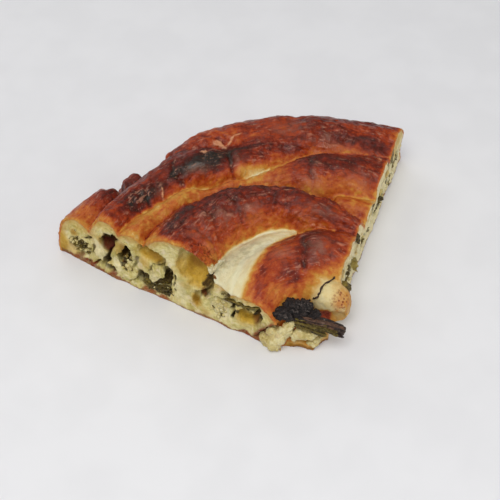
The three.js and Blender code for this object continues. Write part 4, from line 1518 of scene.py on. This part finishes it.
def burnt_foot(places):
    """How red-brown the dough is burnt along the foot of both cuts, and in the crack beside the curd."""
    x, y, z = places.T
    r, depth = cut_place(x, y, LEFT)
    thick = 0.1 + np.max([t * near(r, middle, half) for middle, half, t in RED_FEET], axis=0)
    left = 1 - smooth(-0.5, 0.9, z - thick * (0.8 + 0.7 * fractal(places, 6, 3, seed=25)))
    crack = path_distance(r, z, CRACKS["curd_crack"][0])
    in_crack = (1 - smooth(1.8, 3.6, crack)) * (1 - smooth(9, 12, depth))
    right = 1 - smooth(-0.5, 0.9, z - RIGHT_FOOT * (0.7 + 0.8 * fractal(places, 7, 3, seed=27)))
    right = right * (1 - smooth(3, 7, cut_place(x, y, RIGHT)[1]))
    return np.maximum(np.maximum(left, right), in_crack)


def pastry_layers(places):
    """What the finish of the dough reads at each vertex."""
    x, y, z = places.T
    radius, angle = round_middle(x, y)
    r_left, left_depth = cut_place(x, y, LEFT)
    _, right_depth = cut_place(x, y, RIGHT)
    crust, under = crust_share(x, y, z)
    on_fold = 1 - smooth(0.6, 1.8, egg_distance(x, y, z, FOLD, FOLD_SQUARENESS))
    _, fold_gain, blister, flake = folded(places)
    bake = baking_at(x, y, z)
    # Folds add to the baking; in the grooves this darkening is partly painted shade
    bake = bake + fold_gain * smooth(0.15, 0.4, bake)
    bake = towards(bake, fold_baking(x, y, z), on_fold)
    # Painted shade under the fold, as a dark brown bake
    under_fold_shade = (1 - smooth(0.3, 2.2, egg_distance(x, y, z, FOLD_UNDERSIDE))) * (1 - smooth(17, 22, x))
    bake = towards(bake, UNDER_FOLD_SHADE_BAKE, under_fold_shade)
    patchy = 2.2 * fractal(places, 11, 2, seed=21)
    fade = (1 - smooth(0.6, 5.0, left_depth + patchy)) * (1 - 0.8 * near(r_left, 75, 9))
    bake = towards(bake, np.minimum(bake, LEFT_EDGE_BAKE), fade * 0.8)
    fade = 1 - smooth(0.3, 2.6, right_depth + 0.4 * patchy)
    bake = towards(bake, np.minimum(bake, RIGHT_EDGE_BAKE), fade * 0.6)
    on_tongue = (1 - smooth(20, 25, radius)) * (1 - smooth(8, 11, z)) * (1 - on_fold)
    bake = towards(bake, TONGUE_BAKE, on_tongue)
    tongue_front = on_tongue * (1 - smooth(2.2, 4.2, z))
    bake = bake + PALE_CHEEK_GAIN * patch_share(angle, radius, PALE_CHEEK) * smooth(0.1, 0.35, bake)
    from_speckles = np.linalg.norm(places - np.array(SPECKLES["at"], np.float32), axis=-1)
    speckled = 1 - smooth(0.7, 1.1, from_speckles / SPECKLES["reach"])
    cut = cut_colours(places)
    return {
        "speckled": speckled * on_fold,
        "bake": bake,
        # Where the slot's painted shade lies, it takes the place of the crust's colour
        "crust": crust * (1 - tongue_front) * (1 - cut["slot"]),
        "cream": cut["cream"],
        "gold": np.maximum(cut["gold"] * (1 - crust), tongue_front),
        "tone": np.maximum(cut["tone"], 0.62 * tongue_front),
        "green": cut["green"],
        # The painted shade of the hollows, cracks and slot
        "dark": cut["dark"] * (1 - crust * (1 - cut["slot"])),
        "stain": patch_share(angle, radius, SHEET_STAIN) * (1 - smooth(0.15, 0.3, bake)),
        # How much of the painted sheen lies on each place
        "blister": blister * (1 - on_fold),
        "flake": flake * (1 - on_fold),
        "foot": burnt_foot(places),
        "across": radius * MM,
        "around": np.radians(angle) * radius * MM,
        "under": under,
    }


# The rolls of filling inside the ropes, as in the solids: centre radius, half width, middle height and half
# height at stations along them. "back" is how far each has drawn back from the left-hand and right-hand cut.
# shaded_end is how much painted shade darkens each roll near the left-hand cut, ruddy past the radii in
# ruddy_beyond
STRANDS = {
    "filling_rim": dict(
        ends=(OVERRUN, 30.5), radius=[158.5, 160], half=[11, 8], middle=[16, 16], rise=[11, 8], back=(1.2, 0),
        green=0.42, leafy_end=0.15,
    ),
    "filling_outer": dict(
        ends=(OVERRUN, -OVERRUN), radius=[131, 138, 143, 153, 158], half=[9, 11, 12, 13, 12],
        middle=[17, 18, 19, 18, 17], rise=[13, 11, 11, 11, 9], back=(9, 1.4), green=0.5, leafy_end=0.35,
        shaded_end=0.8, ruddy_beyond=(132, 134),
    ),
    "filling_second": dict(
        ends=(OVERRUN, -OVERRUN), radius=[106, 110, 112, 118, 126], half=[12, 9, 8, 12, 12],
        middle=[15, 14, 14, 17, 15], rise=[12, 9, 9, 11, 9], back=(2.4, 1.4), hollow_above=12, green=0.62,
        leafy_end=0.6, shaded_end=0.45,
    ),
    "filling_third": dict(
        ends=(OVERRUN, -OVERRUN), radius=[70, 79, 83, 84, 86], half=[13, 12, 11, 11, 10],
        middle=[13, 16, 17, 16, 14], rise=[10, 10, 11, 11, 9], back=(0.2, 1.4), drawn_beyond=67, green=0.16,
        leafy_end=0.0,
    ),
    "filling_centre": dict(
        ends=(OVERRUN, -OVERRUN), radius=[43, 46, 47, 49, 54], half=[10, 12, 12, 12, 10],
        middle=[19, 18, 17, 17, 16], rise=[6, 9, 10, 10, 9], back=(6, 1.4), green=0.5, leafy_end=0.3,
        shaded_end=0.5, ruddy_beyond=(43, 38),
    ),
}


def strand_distance(strand, x, y, z):
    """Distance outside a roll of filling, lumpy and drawn back from the cuts."""
    radius, angle = round_middle(x, y)
    first, last = strand["ends"]
    t = (first - angle) / (first - last)
    half, rise = along(strand["half"], t) - 0.5, along(strand["rise"], t) - 0.5
    across = (radius - along(strand["radius"], t)) / half
    up = (z - along(strand["middle"], t)) / rise
    distance = (np.hypot(across, up) - 1) * np.minimum(half, rise)
    distance = np.maximum(distance, (last - angle) * radius * math.radians(1))
    lumps = 1.6 * fractal(np.stack([x, y, z], -1), 7, 3, seed=41)
    _, left = cut_place(x, y, LEFT)
    _, right = cut_place(x, y, RIGHT)
    left_back = strand["back"][0] + 9 * smooth(0, 4, z - strand.get("hollow_above", FAR))
    left_back = left_back + 8 * smooth(0, 3, radius - strand.get("drawn_beyond", 9 * FAR))
    ends = np.maximum(left_back - left, strand["back"][1] - right)
    return np.maximum(distance, ends + lumps + 0.5)


def make_filling(name, strand):
    """A roll of filling, more leafy near the left-hand cut, where painted shade darkens it, ruddy in places,
    as its table says.
    """
    step = 1.25
    low, high = (np.array(corner) / MM + (0, ORIGIN_FROM_CENTRE, 0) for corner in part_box(name))
    distance = functools.partial(strand_distance, strand)
    finish = filling_finish(name + "_mix")
    piece, places = fleshed("roll_" + name, distance, low - 3, high + 3, step, finish, 0.9, 3)
    r_left, left = cut_place(places[:, 0], places[:, 1], LEFT)
    leafy = strand["leafy_end"] * (1 - smooth(8, 16, left))
    paint(piece, green=strand["green"] + leafy + 0.25 * fractal(places, 9, 2, seed=43))
    # Painted shade near the left-hand cut, and where it turns ruddy
    deep = strand.get("shaded_end", 0) * (1 - smooth(12, 18, left))
    paint(piece, deep=deep, ruddy=smooth(*strand.get("ruddy_beyond", (9 * FAR, 10 * FAR)), r_left))
    return piece


def ball(rounds):
    """The vertices and three-sided faces of a unit ball."""
    mesh = bpy.data.meshes.new("ball")
    shape = bmesh.new()
    bmesh.ops.create_icosphere(shape, subdivisions=rounds, radius=1)
    shape.to_mesh(mesh)
    shape.free()
    vertices = np.array([v.co for v in mesh.vertices])
    faces = np.array([p.vertices for p in mesh.polygons])
    bpy.data.meshes.remove(mesh)
    return vertices, faces


def turned_axes(random, count):
    """Random square axes, one set for each of a number of small pieces."""
    first = random.normal(size=(count, 3))
    first /= np.linalg.norm(first, axis=1, keepdims=True)
    second = np.cross(first, random.normal(size=(count, 3)))
    second /= np.linalg.norm(second, axis=1, keepdims=True)
    return np.stack([first, second, np.cross(first, second)], 1)


def crumb_pile(middles, sizes, seed, rounds=2):
    """Small uneven lumps, joined in one mesh."""
    random = np.random.default_rng(seed)
    shape, faces = ball(rounds)
    axes = turned_axes(random, len(middles))
    stretch = random.uniform(0.6, 1.15, (len(middles), 3))
    all_vertices, all_faces = [], []
    for k, (middle, size) in enumerate(zip(middles, sizes)):
        lumps = 1 + 0.5 * noise((shape * 1.1 + k * 3.7).astype(np.float32), 1.0, seed=3)
        vertices = (shape * lumps[:, None] * stretch[k]) @ axes[k] * size + middle
        all_vertices.append(vertices)
        all_faces.append(faces + k * len(shape))
    return np.concatenate(all_vertices), np.concatenate(all_faces)


def strip(path, sideways, half_width, half_thickness, ring=8):
    """A flat band along a path, closed at both ends: vertices and four-sided faces."""
    path = np.asarray(path, float)
    forward = np.gradient(path, axis=0)
    forward /= np.linalg.norm(forward, axis=1, keepdims=True)
    side = np.asarray(sideways, float) - forward * (np.asarray(sideways) * forward).sum(1, keepdims=True)
    side /= np.linalg.norm(side, axis=1, keepdims=True)
    up = np.cross(forward, side)
    turn = np.arange(ring) / ring * 2 * math.pi
    width = np.asarray(half_width)[:, None] * np.cos(turn)
    height = np.asarray(half_thickness)[:, None] * np.sin(turn)
    vertices = path[:, None] + side[:, None] * width[..., None] + up[:, None] * height[..., None]
    rows = len(path)
    k = np.arange(ring)
    faces = []
    for row in range(rows - 1):
        a, b = row * ring + k, row * ring + (k + 1) % ring
        faces.append(np.stack([a, b, b + ring, a + ring], 1))
    for row in (0, rows - 1):
        near_half, far_half = np.arange(ring // 2 - 1), ring - 1 - np.arange(ring // 2 - 1)
        cap = np.stack([near_half, near_half + 1, far_half - 1, far_half], 1)
        faces.append(row * ring + (cap if row == 0 else cap[:, ::-1]))
    return vertices.reshape(-1, 3), np.concatenate(faces)


def curve_through(points, count):
    points = np.asarray(points, float)
    t = np.linspace(0, 1, count)
    return np.stack([along(points[:, k], t) for k in range(3)], -1)


def three_sided(faces):
    return faces if faces.shape[1] == 3 else np.concatenate([faces[:, :3], faces[:, [0, 2, 3]]])


def join_parts(parts):
    vertices, faces, start = [], [], 0
    for part_vertices, part_faces in parts:
        vertices.append(part_vertices)
        faces.append(three_sided(part_faces) + start)
        start += len(part_vertices)
    return np.concatenate(vertices), np.concatenate(faces)


def tapered(count, ends=0.25):
    t = np.linspace(0, 1, count)
    return np.clip(np.minimum(t, 1 - t) / ends, 0.02, 1) ** 0.5


def shred(random, middle, length, width, thickness, forward, side):
    """A curled ribbon of leaf."""
    # These axes aren't used: drawing them keeps the shreds after this one as they are
    turned_axes(random, 1)
    lift = np.cross(forward, side)
    t = np.linspace(-0.5, 0.5, 9)
    bend = random.uniform(-1, 1, 3)
    path = middle + length * (
        t[:, None] * forward
        + (bend[0] * 0.5 * (t**2 - 0.08))[:, None] * lift
        + (bend[1] * 0.35 * np.sin(t * 7))[:, None] * side
    )
    twist = bend[2] * 1.8 * t
    sideways = np.cos(twist)[:, None] * side + np.sin(twist)[:, None] * lift
    shape = tapered(9)
    return strip(path, sideways, width * shape, thickness * np.maximum(shape, 0.3))


def solid_distance(x, y, z):
    """Distance outside the dough and all the rolls of filling."""
    total = slice_distance(x, y, z)
    for strand in STRANDS.values():
        total = np.minimum(total, strand_distance(strand, x, y, z))
    return total


def cut_axes(side):
    """The directions along a knife cut from the pastry's middle, and into the slice."""
    a = math.radians(HALF_ANGLE)
    return np.array([-side * math.sin(a), math.cos(a), 0]), np.array([side * math.cos(a), math.sin(a), 0])


def cut_point(r, z, depth, side):
    """The place at a distance along a cut, a height, and a depth inside the slice."""
    along_cut, inward = cut_axes(side)
    up = np.array([0, 0, 1])
    return np.multiply.outer(r, along_cut) + np.multiply.outer(depth, inward) + np.multiply.outer(z, up)


LITTER_STEP = 0.5
LITTER_STEPS = 30
LITTER_DEEPEST = 14


def first_met(r, z, side):
    """How deep behind a cut each place on it first meets something solid."""
    depth = np.zeros_like(r)
    moving = np.ones(len(r), bool)
    for _ in range(LITTER_STEPS):
        x, y, up = cut_point(r, z, depth, side).astype(np.float32).T
        moving &= solid_distance(x, y, up) > 0.1
        depth = depth + LITTER_STEP * moving
    return depth


# Where crumbs of cheese and shreds of spinach show at the cuts: the cut, middle (radius, height), half sizes,
# and how many crumbs and shreds
CUT_LITTER = [
    (LEFT, (160, 13), (8, 6), 34, 56),
    (LEFT, (126, 17), (4, 7), 8, 16),
    (LEFT, (105, 8), (11, 5), 3, 46),
    (LEFT, (46, 18), (9, 3.5), 2, 12),
    (LEFT, (63, 14), (5, 9), 30, 3),
    (RIGHT, (158, 18), (7, 5), 10, 16),
    (RIGHT, (145, 14), (7, 6), 6, 8),
    (RIGHT, (122, 16), (9, 6), 12, 16),
    (RIGHT, (87, 15), (8, 6), 12, 14),
    (RIGHT, (56, 16), (8, 6), 12, 12),
]
# Leaf that runs through the hollows: the cut, places (radius, height), half width into the slice
LEAF_SHEETS = [
    (LEFT, [(37, 29), (44, 26.6), (52, 25.2), (59, 24)], 4.5),
    (LEFT, [(95, 6), (101, 3.8), (108, 3.6), (116, 6.4)], 6),
    (LEFT, [(96, 11), (98.5, 7.5), (101.5, 6)], 5),
    (RIGHT, [(153, 17), (157, 20.5), (163, 19)], 3.5),
    (RIGHT, [(115, 17), (121, 14.5), (128, 17)], 3.5),
    (RIGHT, [(80, 17), (86, 15.8), (91, 12)], 3),
    (RIGHT, [(52, 13), (57, 17), (63, 15)], 3),
]
# Crumbs of cheese that lie on the bare base at the tip: place and size
TIP_CRUMBS = [
    ((4.6, 13.2, 6.4), 3.0), ((1.6, 13.0, 6.2), 2.2), ((6.6, 14.2, 5.6), 1.8), ((-6.4, 17.4, 7.2), 1.6),
    ((8.6, 14.8, 6.4), 1.3), ((2.8, 11.8, 4.8), 1.4),
]


def litter_places():
    """Places and sizes of the crumbs, and the place and the cut of each shred."""
    random = np.random.default_rng(61)
    crumbs, shreds = [], []
    for side, (r, z), (half_r, half_z), crumb_count, shred_count in CUT_LITTER:
        count = crumb_count + shred_count
        turn, reach = random.uniform(0, 2 * math.pi, count), np.sqrt(random.uniform(0, 1, count))
        rs, zs = r + half_r * reach * np.cos(turn), z + half_z * reach * np.sin(turn)
        depth = first_met(rs, zs, side)
        kept = depth < LITTER_DEEPEST
        for middle, half in CUTS[side]["pale"].values():
            kept &= (outness(rs, zs, middle, half) > 1) | (depth > 3)
        places = cut_point(rs, zs, depth, side)
        crumbs.extend(places[:crumb_count][kept[:crumb_count]])
        shreds.extend((place, side) for place in places[crumb_count:][kept[crumb_count:]])
    sizes = random.uniform(0.5, 1.5, len(crumbs))
    crumbs.extend(np.array(place) for place, _ in TIP_CRUMBS)
    return np.array(crumbs), np.concatenate([sizes, [size for _, size in TIP_CRUMBS]]), shreds


def leaf_sheet(side, path, half):
    """Bands of leaf side by side, each a little deeper behind a cut than the one before."""
    line = np.array(path, float)
    t = np.linspace(0, 1, 24)
    r, z = along(line[:, 0], t), along(line[:, 1], t)
    width, thickness = 0.62 * tapered(24, 0.1), 0.55 * tapered(24, 0.1)
    _, inward = cut_axes(side)
    for depth in np.arange(0.6, half, 0.9):
        wave = 0.5 * np.sin(t * 9 + depth * 2.3)
        places = cut_point(r, z + wave, np.full_like(r, depth), side)
        sideways = np.tile(inward + (0, 0, 0.25 * math.sin(depth * 3)), (24, 1))
        yield strip(places, sideways, width, thickness)


def make_litter():
    """The crumbs of cheese, and the shreds and sheets of spinach, at both cuts."""
    crumbs, sizes, shreds = litter_places()
    random = np.random.default_rng(67)
    vertices, faces = crumb_pile(crumbs, sizes, 71)
    cheese = build_mesh("cheese_crumbs", vertices, faces, curd_finish("cheese_crumb"))
    paint(cheese, toast=np.zeros(len(vertices)))
    parts = []
    for place, side in shreds:
        outward = -cut_axes(side)[1]
        forward = turned_axes(random, 1)[0][0]
        forward = forward - outward * (forward @ outward) * 0.8
        forward /= np.linalg.norm(forward)
        flat = np.cross(forward, outward + 0.6 * random.normal(size=3))
        flat /= np.linalg.norm(flat)
        length, width = random.uniform(2.5, 7), random.uniform(0.5, 1.4)
        parts.append(shred(random, place, length, width, 0.2, forward, flat))
    for side, path, half in LEAF_SHEETS:
        parts.extend(leaf_sheet(side, path, half))
    vertices, faces = join_parts(parts)
    spinach = build_mesh("spinach_shreds", vertices, faces, leaf_finish("spinach_shred"))
    paint(spinach, tone=0.5 + 0.5 * noise(vertices.astype(np.float32), 7, seed=4))
    return cheese, spinach


# Lumps of white cheese at the tip: the middle and half sizes of each lobe, and the lowest they reach
CURD_LUMPS = {
    "curd_lump_left": {
        "lobes": [
            ((-17.2, 21.2, 4.8), (5.0, 5.2, 5.6)),
            ((-20.6, 26.0, 4.2), (3.6, 4.4, 4.6)),
            ((-14.0, 20.2, 9.6), (4.6, 4.2, 6.4)),
            ((-17.6, 23.6, 12.6), (3.4, 3.2, 4.6)),
            ((-10.4, 19.6, 15.4), (4.6, 3.4, 5.0)),
            ((-7.4, 20.0, 19.6), (3.2, 2.8, 3.0)),
        ],
        "lowest": 0,
    },
    "curd_lump_right": {
        "lobes": [
            ((-3.4, 15.8, 13.6), (5.4, 3.6, 4.2)),
            ((1.8, 13.8, 13.2), (5.0, 3.2, 3.8)),
            ((-6.0, 17.4, 11.0), (3.0, 2.6, 3.4)),
        ],
        "lowest": 5.0,
    },
}


def lobed_distance(lobes, x, y, z, fillet):
    """Distance outside egg-shaped lobes that run together."""
    total = np.full_like(x, FAR)
    for (ax, ay, az), half in lobes:
        size = np.sqrt(sum(((v - a) / h) ** 2 for v, a, h in zip((x, y, z), (ax, ay, az), half)))
        total = blend_low(total, (size - 1) * min(half), fillet)
    return total


def lobe_box(lobes):
    """The corners of a box round lobes, with some room."""
    low = np.min([np.subtract(at, half) for at, half in lobes], axis=0) - 2
    return low, np.max([np.add(at, half) for at, half in lobes], axis=0) + 2


def curd_distance(lump, x, y, z):
    places = np.stack([x, y, z], -1)
    stirred = places + 1.4 * np.stack([noise(places, 5, seed=k) for k in (28, 29, 30)], -1)
    clumps = np.minimum(cell_edges(stirred, 5.0, seed=2), 0.4)
    crumbs = np.minimum(cell_edges(stirred, 2.2, seed=6), 0.35)
    distance = lobed_distance(lump["lobes"], x, y, z, 0.5)
    distance = distance + 2.2 * (0.3 - clumps) + 0.6 * (0.25 - crumbs) + 0.3 * fractal(places, 3, 2, seed=8)
    return np.maximum(distance, lump["lowest"] - z)


def make_curd_lump(name, lump):
    """A crumbly lump of white cheese, toasted here and there."""
    step = 0.45
    distance = functools.partial(curd_distance, lump)
    finish = curd_finish(name + "_cheese")
    piece, places = fleshed("crumbly_" + name, distance, *lobe_box(lump["lobes"]), step, finish)
    paint(piece, toast=smooth(0.1, 0.5, fractal(places, 5, 2, seed=15)) * 0.4)
    return piece


# The lobes of the burnt clump: middle and half sizes
CHAR_LOBES = [
    ((-12.6, 24.0, 26.6), (4.6, 4.2, 4.2)), ((-9.0, 22.4, 25.6), (4.6, 3.6, 4.0)),
    ((-6.0, 24.2, 29.0), (6.0, 4.6, 4.8)), ((-2.6, 20.6, 27.0), (5.2, 3.8, 4.0)),
    ((0.2, 21.2, 29.2), (5.0, 4.8, 4.4)), ((4.4, 16.8, 26.4), (3.4, 3.8, 3.2)),
]
# The flat stem that lies down from the clump, along its upper and its lower edge
STEM_TOP = [(-6, 21.5, 26.6), (3, 15.6, 26.6), (12.2, 11.0, 24.4), (20.4, 7.6, 19.6)]
STEM_FOOT = [(-7.5, 19.0, 22.6), (2.0, 12.8, 21.2), (10.6, 8.2, 18.0), (17.8, 5.4, 13.8)]
# The burnt thread that lies over the crust beside the fold
CHAR_THREAD = [
    (7.2, 26.4, 27.2), (8.5, 25.0, 29.8), (10.0, 24.8, 31.9), (11.6, 26.6, 33.1), (15.5, 29.1, 34.6),
    (20.5, 30.4, 34.7), (22.6, 31.6, 35.0),
]


def char_distance(x, y, z):
    places = np.stack([x, y, z], -1)
    stirred = places + 1.3 * np.stack([noise(places, 5, seed=k) for k in (52, 53, 54)], -1)
    clumps = np.minimum(cell_edges(stirred, 4.2, seed=9), 0.5)
    bits = np.minimum(cell_edges(stirred, 2.0, seed=10), 0.4)
    return lobed_distance(CHAR_LOBES, x, y, z, 0.5) + 2.6 * (0.3 - clumps) + 1.3 * (0.25 - bits)


def stem_fibre(random, across, start, end, count=30):
    """One fibre of the stem, from its share across (0 at the upper edge, 1 at the lower) and along."""
    upper, lower = (curve_through(edge, 60) for edge in (STEM_TOP, STEM_FOOT))
    share = across + 0.03 * np.sin(np.linspace(0, 9, 60) + random.uniform(0, 6))[:, None]
    line = upper + (lower - upper) * share
    at = np.linspace(start, end, count) * 59
    line, sideways = (
        np.stack([np.interp(at, np.arange(60), whole[:, k]) for k in range(3)], -1)
        for whole in (line, lower - upper)
    )
    forward = np.gradient(line, axis=0)
    outward = np.cross(sideways, forward)
    outward /= np.linalg.norm(outward, axis=1, keepdims=True)
    wave = 0.5 * np.sin(np.linspace(0, 7, count) + random.uniform(0, 6)) + random.uniform(-0.6, 0.9)
    line = line + outward * wave[:, None]
    half = random.uniform(0.3, 0.8) * tapered(count, 0.06)
    return strip(line, sideways, half, random.uniform(0.35, 0.8) * tapered(count, 0.06))


def joined(parts):
    """Parts joined in one mesh, and the value of each part at each of its vertices."""
    values = np.concatenate([np.full(len(mesh[0]), value) for mesh, value in parts])
    return *join_parts([mesh for mesh, _ in parts]), values


def make_charred_clump():
    """The burnt clump of leaf, craggy with small bits, and the burnt upper part of the stem."""
    step = 0.4
    low, high = lobe_box(CHAR_LOBES)
    heart, faces = surface_net(gridded(char_distance, low, high, step), low, step)
    random = np.random.default_rng(83)
    chosen = heart[random.choice(len(heart), 230, replace=False)]
    parts = [((heart, faces), 0), (crumb_pile(chosen, random.uniform(0.3, 0.95, len(chosen)), 85, 1), 0)]
    top, foot = (curve_through(edge, 40) for edge in (STEM_TOP, STEM_FOOT))
    shape = tapered(40, 0.04)
    parts.append((strip((top + foot) / 2, foot - top, 3.0 * shape, 1.0 * shape), 0.2))
    for across in np.linspace(0.02, 0.6, 15):
        fibre = stem_fibre(random, across, random.uniform(0, 0.2), random.uniform(0.93, 1.0))
        parts.append((fibre, random.choice([0.1, 0.7, 1.0])))
    for across in np.linspace(0.6, 1.0, 9):
        fibre = stem_fibre(random, across, random.uniform(0.8, 0.86), random.uniform(0.95, 1.0))
        parts.append((fibre, 0.15))
    vertices, faces, browned = joined(parts)
    piece = build_mesh("charred_leaf_clump", vertices, faces, char_finish("burnt_spinach"))
    paint(piece, browned=browned)
    return piece


def make_leaf_bundle():
    """The part of the stem that stayed green, and cooked leaves bunched under it."""
    random = np.random.default_rng(89)
    parts = []
    fibres = [(across, 0.3, 0.86, 0.4) for across in np.linspace(0.62, 1.02, 11)]
    fibres += [(across, 0.02, 0.62, 0.6) for across in np.linspace(0.5, 1.5, 24)]
    for across, start, end, tone in fibres:
        fibre = stem_fibre(random, across, start + random.uniform(0, 0.06), end - random.uniform(0, 0.12))
        parts.append((fibre, tone + random.choice([-0.35, 0.0, 0.3])))
    vertices, faces, tones = joined(parts)
    piece = build_mesh("leaf_bundle", vertices, faces, leaf_finish("bunched_spinach"))
    paint(piece, tone=tones)
    return piece


def make_thread():
    """The burnt thread, a little knotty."""
    t = np.linspace(0, 1, 60)
    line = curve_through(CHAR_THREAD, 60)
    line = line + np.stack([0.25 * np.sin(t * 31), 0.25 * np.sin(t * 23), 0.15 * np.sin(t * 41)], -1)
    half = 0.55 * tapered(60, 0.05) * (1 + 0.25 * np.sin(t * 37))
    vertices, faces = strip(line, np.tile((0.5, -0.8, 0.3), (60, 1)), half, 0.8 * half, 10)
    piece = build_mesh("charred_strand", vertices, faces, char_finish("burnt_strand"))
    paint(piece, browned=np.full(len(vertices), 0.3))
    return piece


# Torn scraps of leaf: middle, width, length, turn, tilt, and tone from dark (0) to light (1)
LEAF_SCRAPS = {
    "leaf_scrap_upper": ((45.6, 53.6, 34.6), 6, 7.6, 50, 60, 0.3),
    "leaf_scrap_middle": ((41.6, 45.8, 22), 7, 9, 40, 60, 0.95),
    "leaf_scrap_lower": ((30.0, 30.4, 24.5), 5.4, 7.6, 35, 40, 0.6),
}


def make_leaf_scrap(name, scrap, seed):
    """A torn scrap of leaf: a thin wavy sheet with a ragged outline."""
    middle, width, length, spin, tilt, tone = scrap
    rings, spokes = 14, 40
    share = np.linspace(0, 1, rings)[:, None]
    turn = np.linspace(0, 2 * math.pi, spokes, endpoint=False)[None]
    ragged = 1 + 0.14 * np.sin(turn * 3 + seed) + 0.09 * np.sin(turn * 7 + seed * 2)
    ragged = ragged + 0.05 * np.sin(turn * 13)
    u = share * np.cos(turn) * ragged * width / 2
    v = share * np.sin(turn) * ragged * length / 2
    lift = 0.7 * np.sin(u * 0.9 + seed) * np.cos(v * 0.7) + 0.25 * np.sin(v * 2.1 + u)
    thickness = 0.3 * (1 - share**6)
    sheets = [np.stack([u, v, lift + up * thickness], -1).reshape(-1, 3) for up in (1, -1)]
    k = np.arange(spokes)
    faces = []
    for ring in range(rings - 1):
        a, b = ring * spokes + k, ring * spokes + (k + 1) % spokes
        quad = np.stack([a, a + spokes, b + spokes, b], 1)
        faces.append(quad)
        faces.append(quad[:, ::-1] + rings * spokes)
    edge, next_edge = (rings - 1) * spokes + k, (rings - 1) * spokes + (k + 1) % spokes
    faces.append(np.stack([edge, edge + rings * spokes, next_edge + rings * spokes, next_edge], 1))
    u, v, w = np.concatenate(sheets).T
    v, w = spun(v, w, -tilt)
    u, v = spun(u, v, -spin)
    vertices = np.stack([u, v, w], -1) + middle
    piece = build_mesh("torn_" + name, vertices, np.concatenate(faces), leaf_finish(name + "_leaf"))
    paint(piece, tone=tone + 0.4 * noise(vertices.astype(np.float32), 4, seed=seed))
    return piece


def place(piece, slot, *nodes):
    """Puts a piece on the root body and hides the nodes that it stands for; the colour slot is not used."""
    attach(piece, "root")
    if nodes:
        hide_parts(*nodes)


place(make_pastry(), "baked_dough", "pastry")
for strand_name, strand_spec in STRANDS.items():
    place(make_filling(strand_name, strand_spec), "spinach_cheese_filling", strand_name)
cheese_crumbs, spinach_shreds = make_litter()
place(cheese_crumbs, "cheese_curd")
place(spinach_shreds, "spinach_leaf")
for lump_name, lump_spec in CURD_LUMPS.items():
    place(make_curd_lump(lump_name, lump_spec), "cheese_curd", lump_name)
place(make_charred_clump(), "charred_spinach", "charred_spinach")
place(make_leaf_bundle(), "spinach_leaf")
place(make_thread(), "charred_spinach", "charred_thread")
for scrap_seed, (scrap_name, scrap_spec) in enumerate(LEAF_SCRAPS.items()):
    place(make_leaf_scrap(scrap_name, scrap_spec, scrap_seed), "spinach_leaf", scrap_name)


def make_floor():
    """A pale floor under the slice, large enough for every view."""
    size, steps = 3.0, 12
    line = np.linspace(-size, size, steps + 1)
    u, v = np.meshgrid(line, line, indexing="ij")
    vertices = np.stack([u, v, np.zeros_like(u)], -1).reshape(-1, 3) / MM + (0, ORIGIN_FROM_CENTRE, 0)
    i, j = (a.ravel() for a in np.meshgrid(range(steps), range(steps), indexing="ij"))
    corner = i * (steps + 1) + j
    faces = np.stack([corner, corner + steps + 1, corner + steps + 2, corner + 1], 1)
    floor = build_mesh("floor", vertices, faces, floor_finish())


def make_light(name, place, size, power, colour=(1, 1, 1)):
    """A round lamp that faces the slice."""
    lamp = bpy.data.lights.new(name, "AREA")
    lamp.shape = "DISK"
    lamp.size = size
    lamp.energy = power
    lamp.color = colour
    light = bpy.data.objects.new(name, lamp)
    light.location = place
    light.rotation_euler = (-Vector(place)).to_track_quat("-Z", "Y").to_euler()
    bpy.context.scene.collection.objects.link(light)


# The camera: where it stands and looks, its focal length and the picture's width in pixels
CAMERA = {"eye": (-137.76, -276.22, 452.83), "target": (-5.26, 94.44, 0), "focal_px": 975.6, "width_px": 500}
SENSOR = 36
# Lamps: place in metres, diameter, power and colour
LAMPS = {
    "window": ((-0.35, -0.55, 1.25), 0.9, 12.4, (1.0, 0.995, 0.985)),
    "back_fill": ((-0.2, 1.1, 0.8), 1.0, 3),
    "left_fill": ((-1.1, -0.5, 0.5), 0.8, 0.8),
    "right_fill": ((1.1, -0.6, 0.5), 0.9, 3.2),
}
ROOM_LIGHT = 0.31


def make_camera():
    lens = bpy.data.cameras.new("camera")
    lens.sensor_fit = "HORIZONTAL"
    lens.sensor_width = SENSOR
    lens.lens = CAMERA["focal_px"] / CAMERA["width_px"] * SENSOR
    lens.clip_start = 0.01
    camera = bpy.data.objects.new("camera", lens)
    eye, target = (
        Vector((p[0], p[1] - ORIGIN_FROM_CENTRE, p[2])) * MM for p in (CAMERA["eye"], CAMERA["target"])
    )
    camera.location = eye
    camera.rotation_euler = (target - eye).to_track_quat("-Z", "Y").to_euler()
    bpy.context.scene.collection.objects.link(camera)
    bpy.context.scene.camera = camera


make_floor()
make_camera()
for lamp_name, lamp_spec in LAMPS.items():
    make_light(lamp_name, *lamp_spec)
world = bpy.data.worlds.new("soft_room")
world.use_nodes = True
world.node_tree.nodes["Background"].inputs["Color"].default_value = (1, 1, 1.01, 1)
world.node_tree.nodes["Background"].inputs["Strength"].default_value = ROOM_LIGHT
bpy.context.scene.world = world
bpy.context.scene.view_settings.view_transform = "Standard"
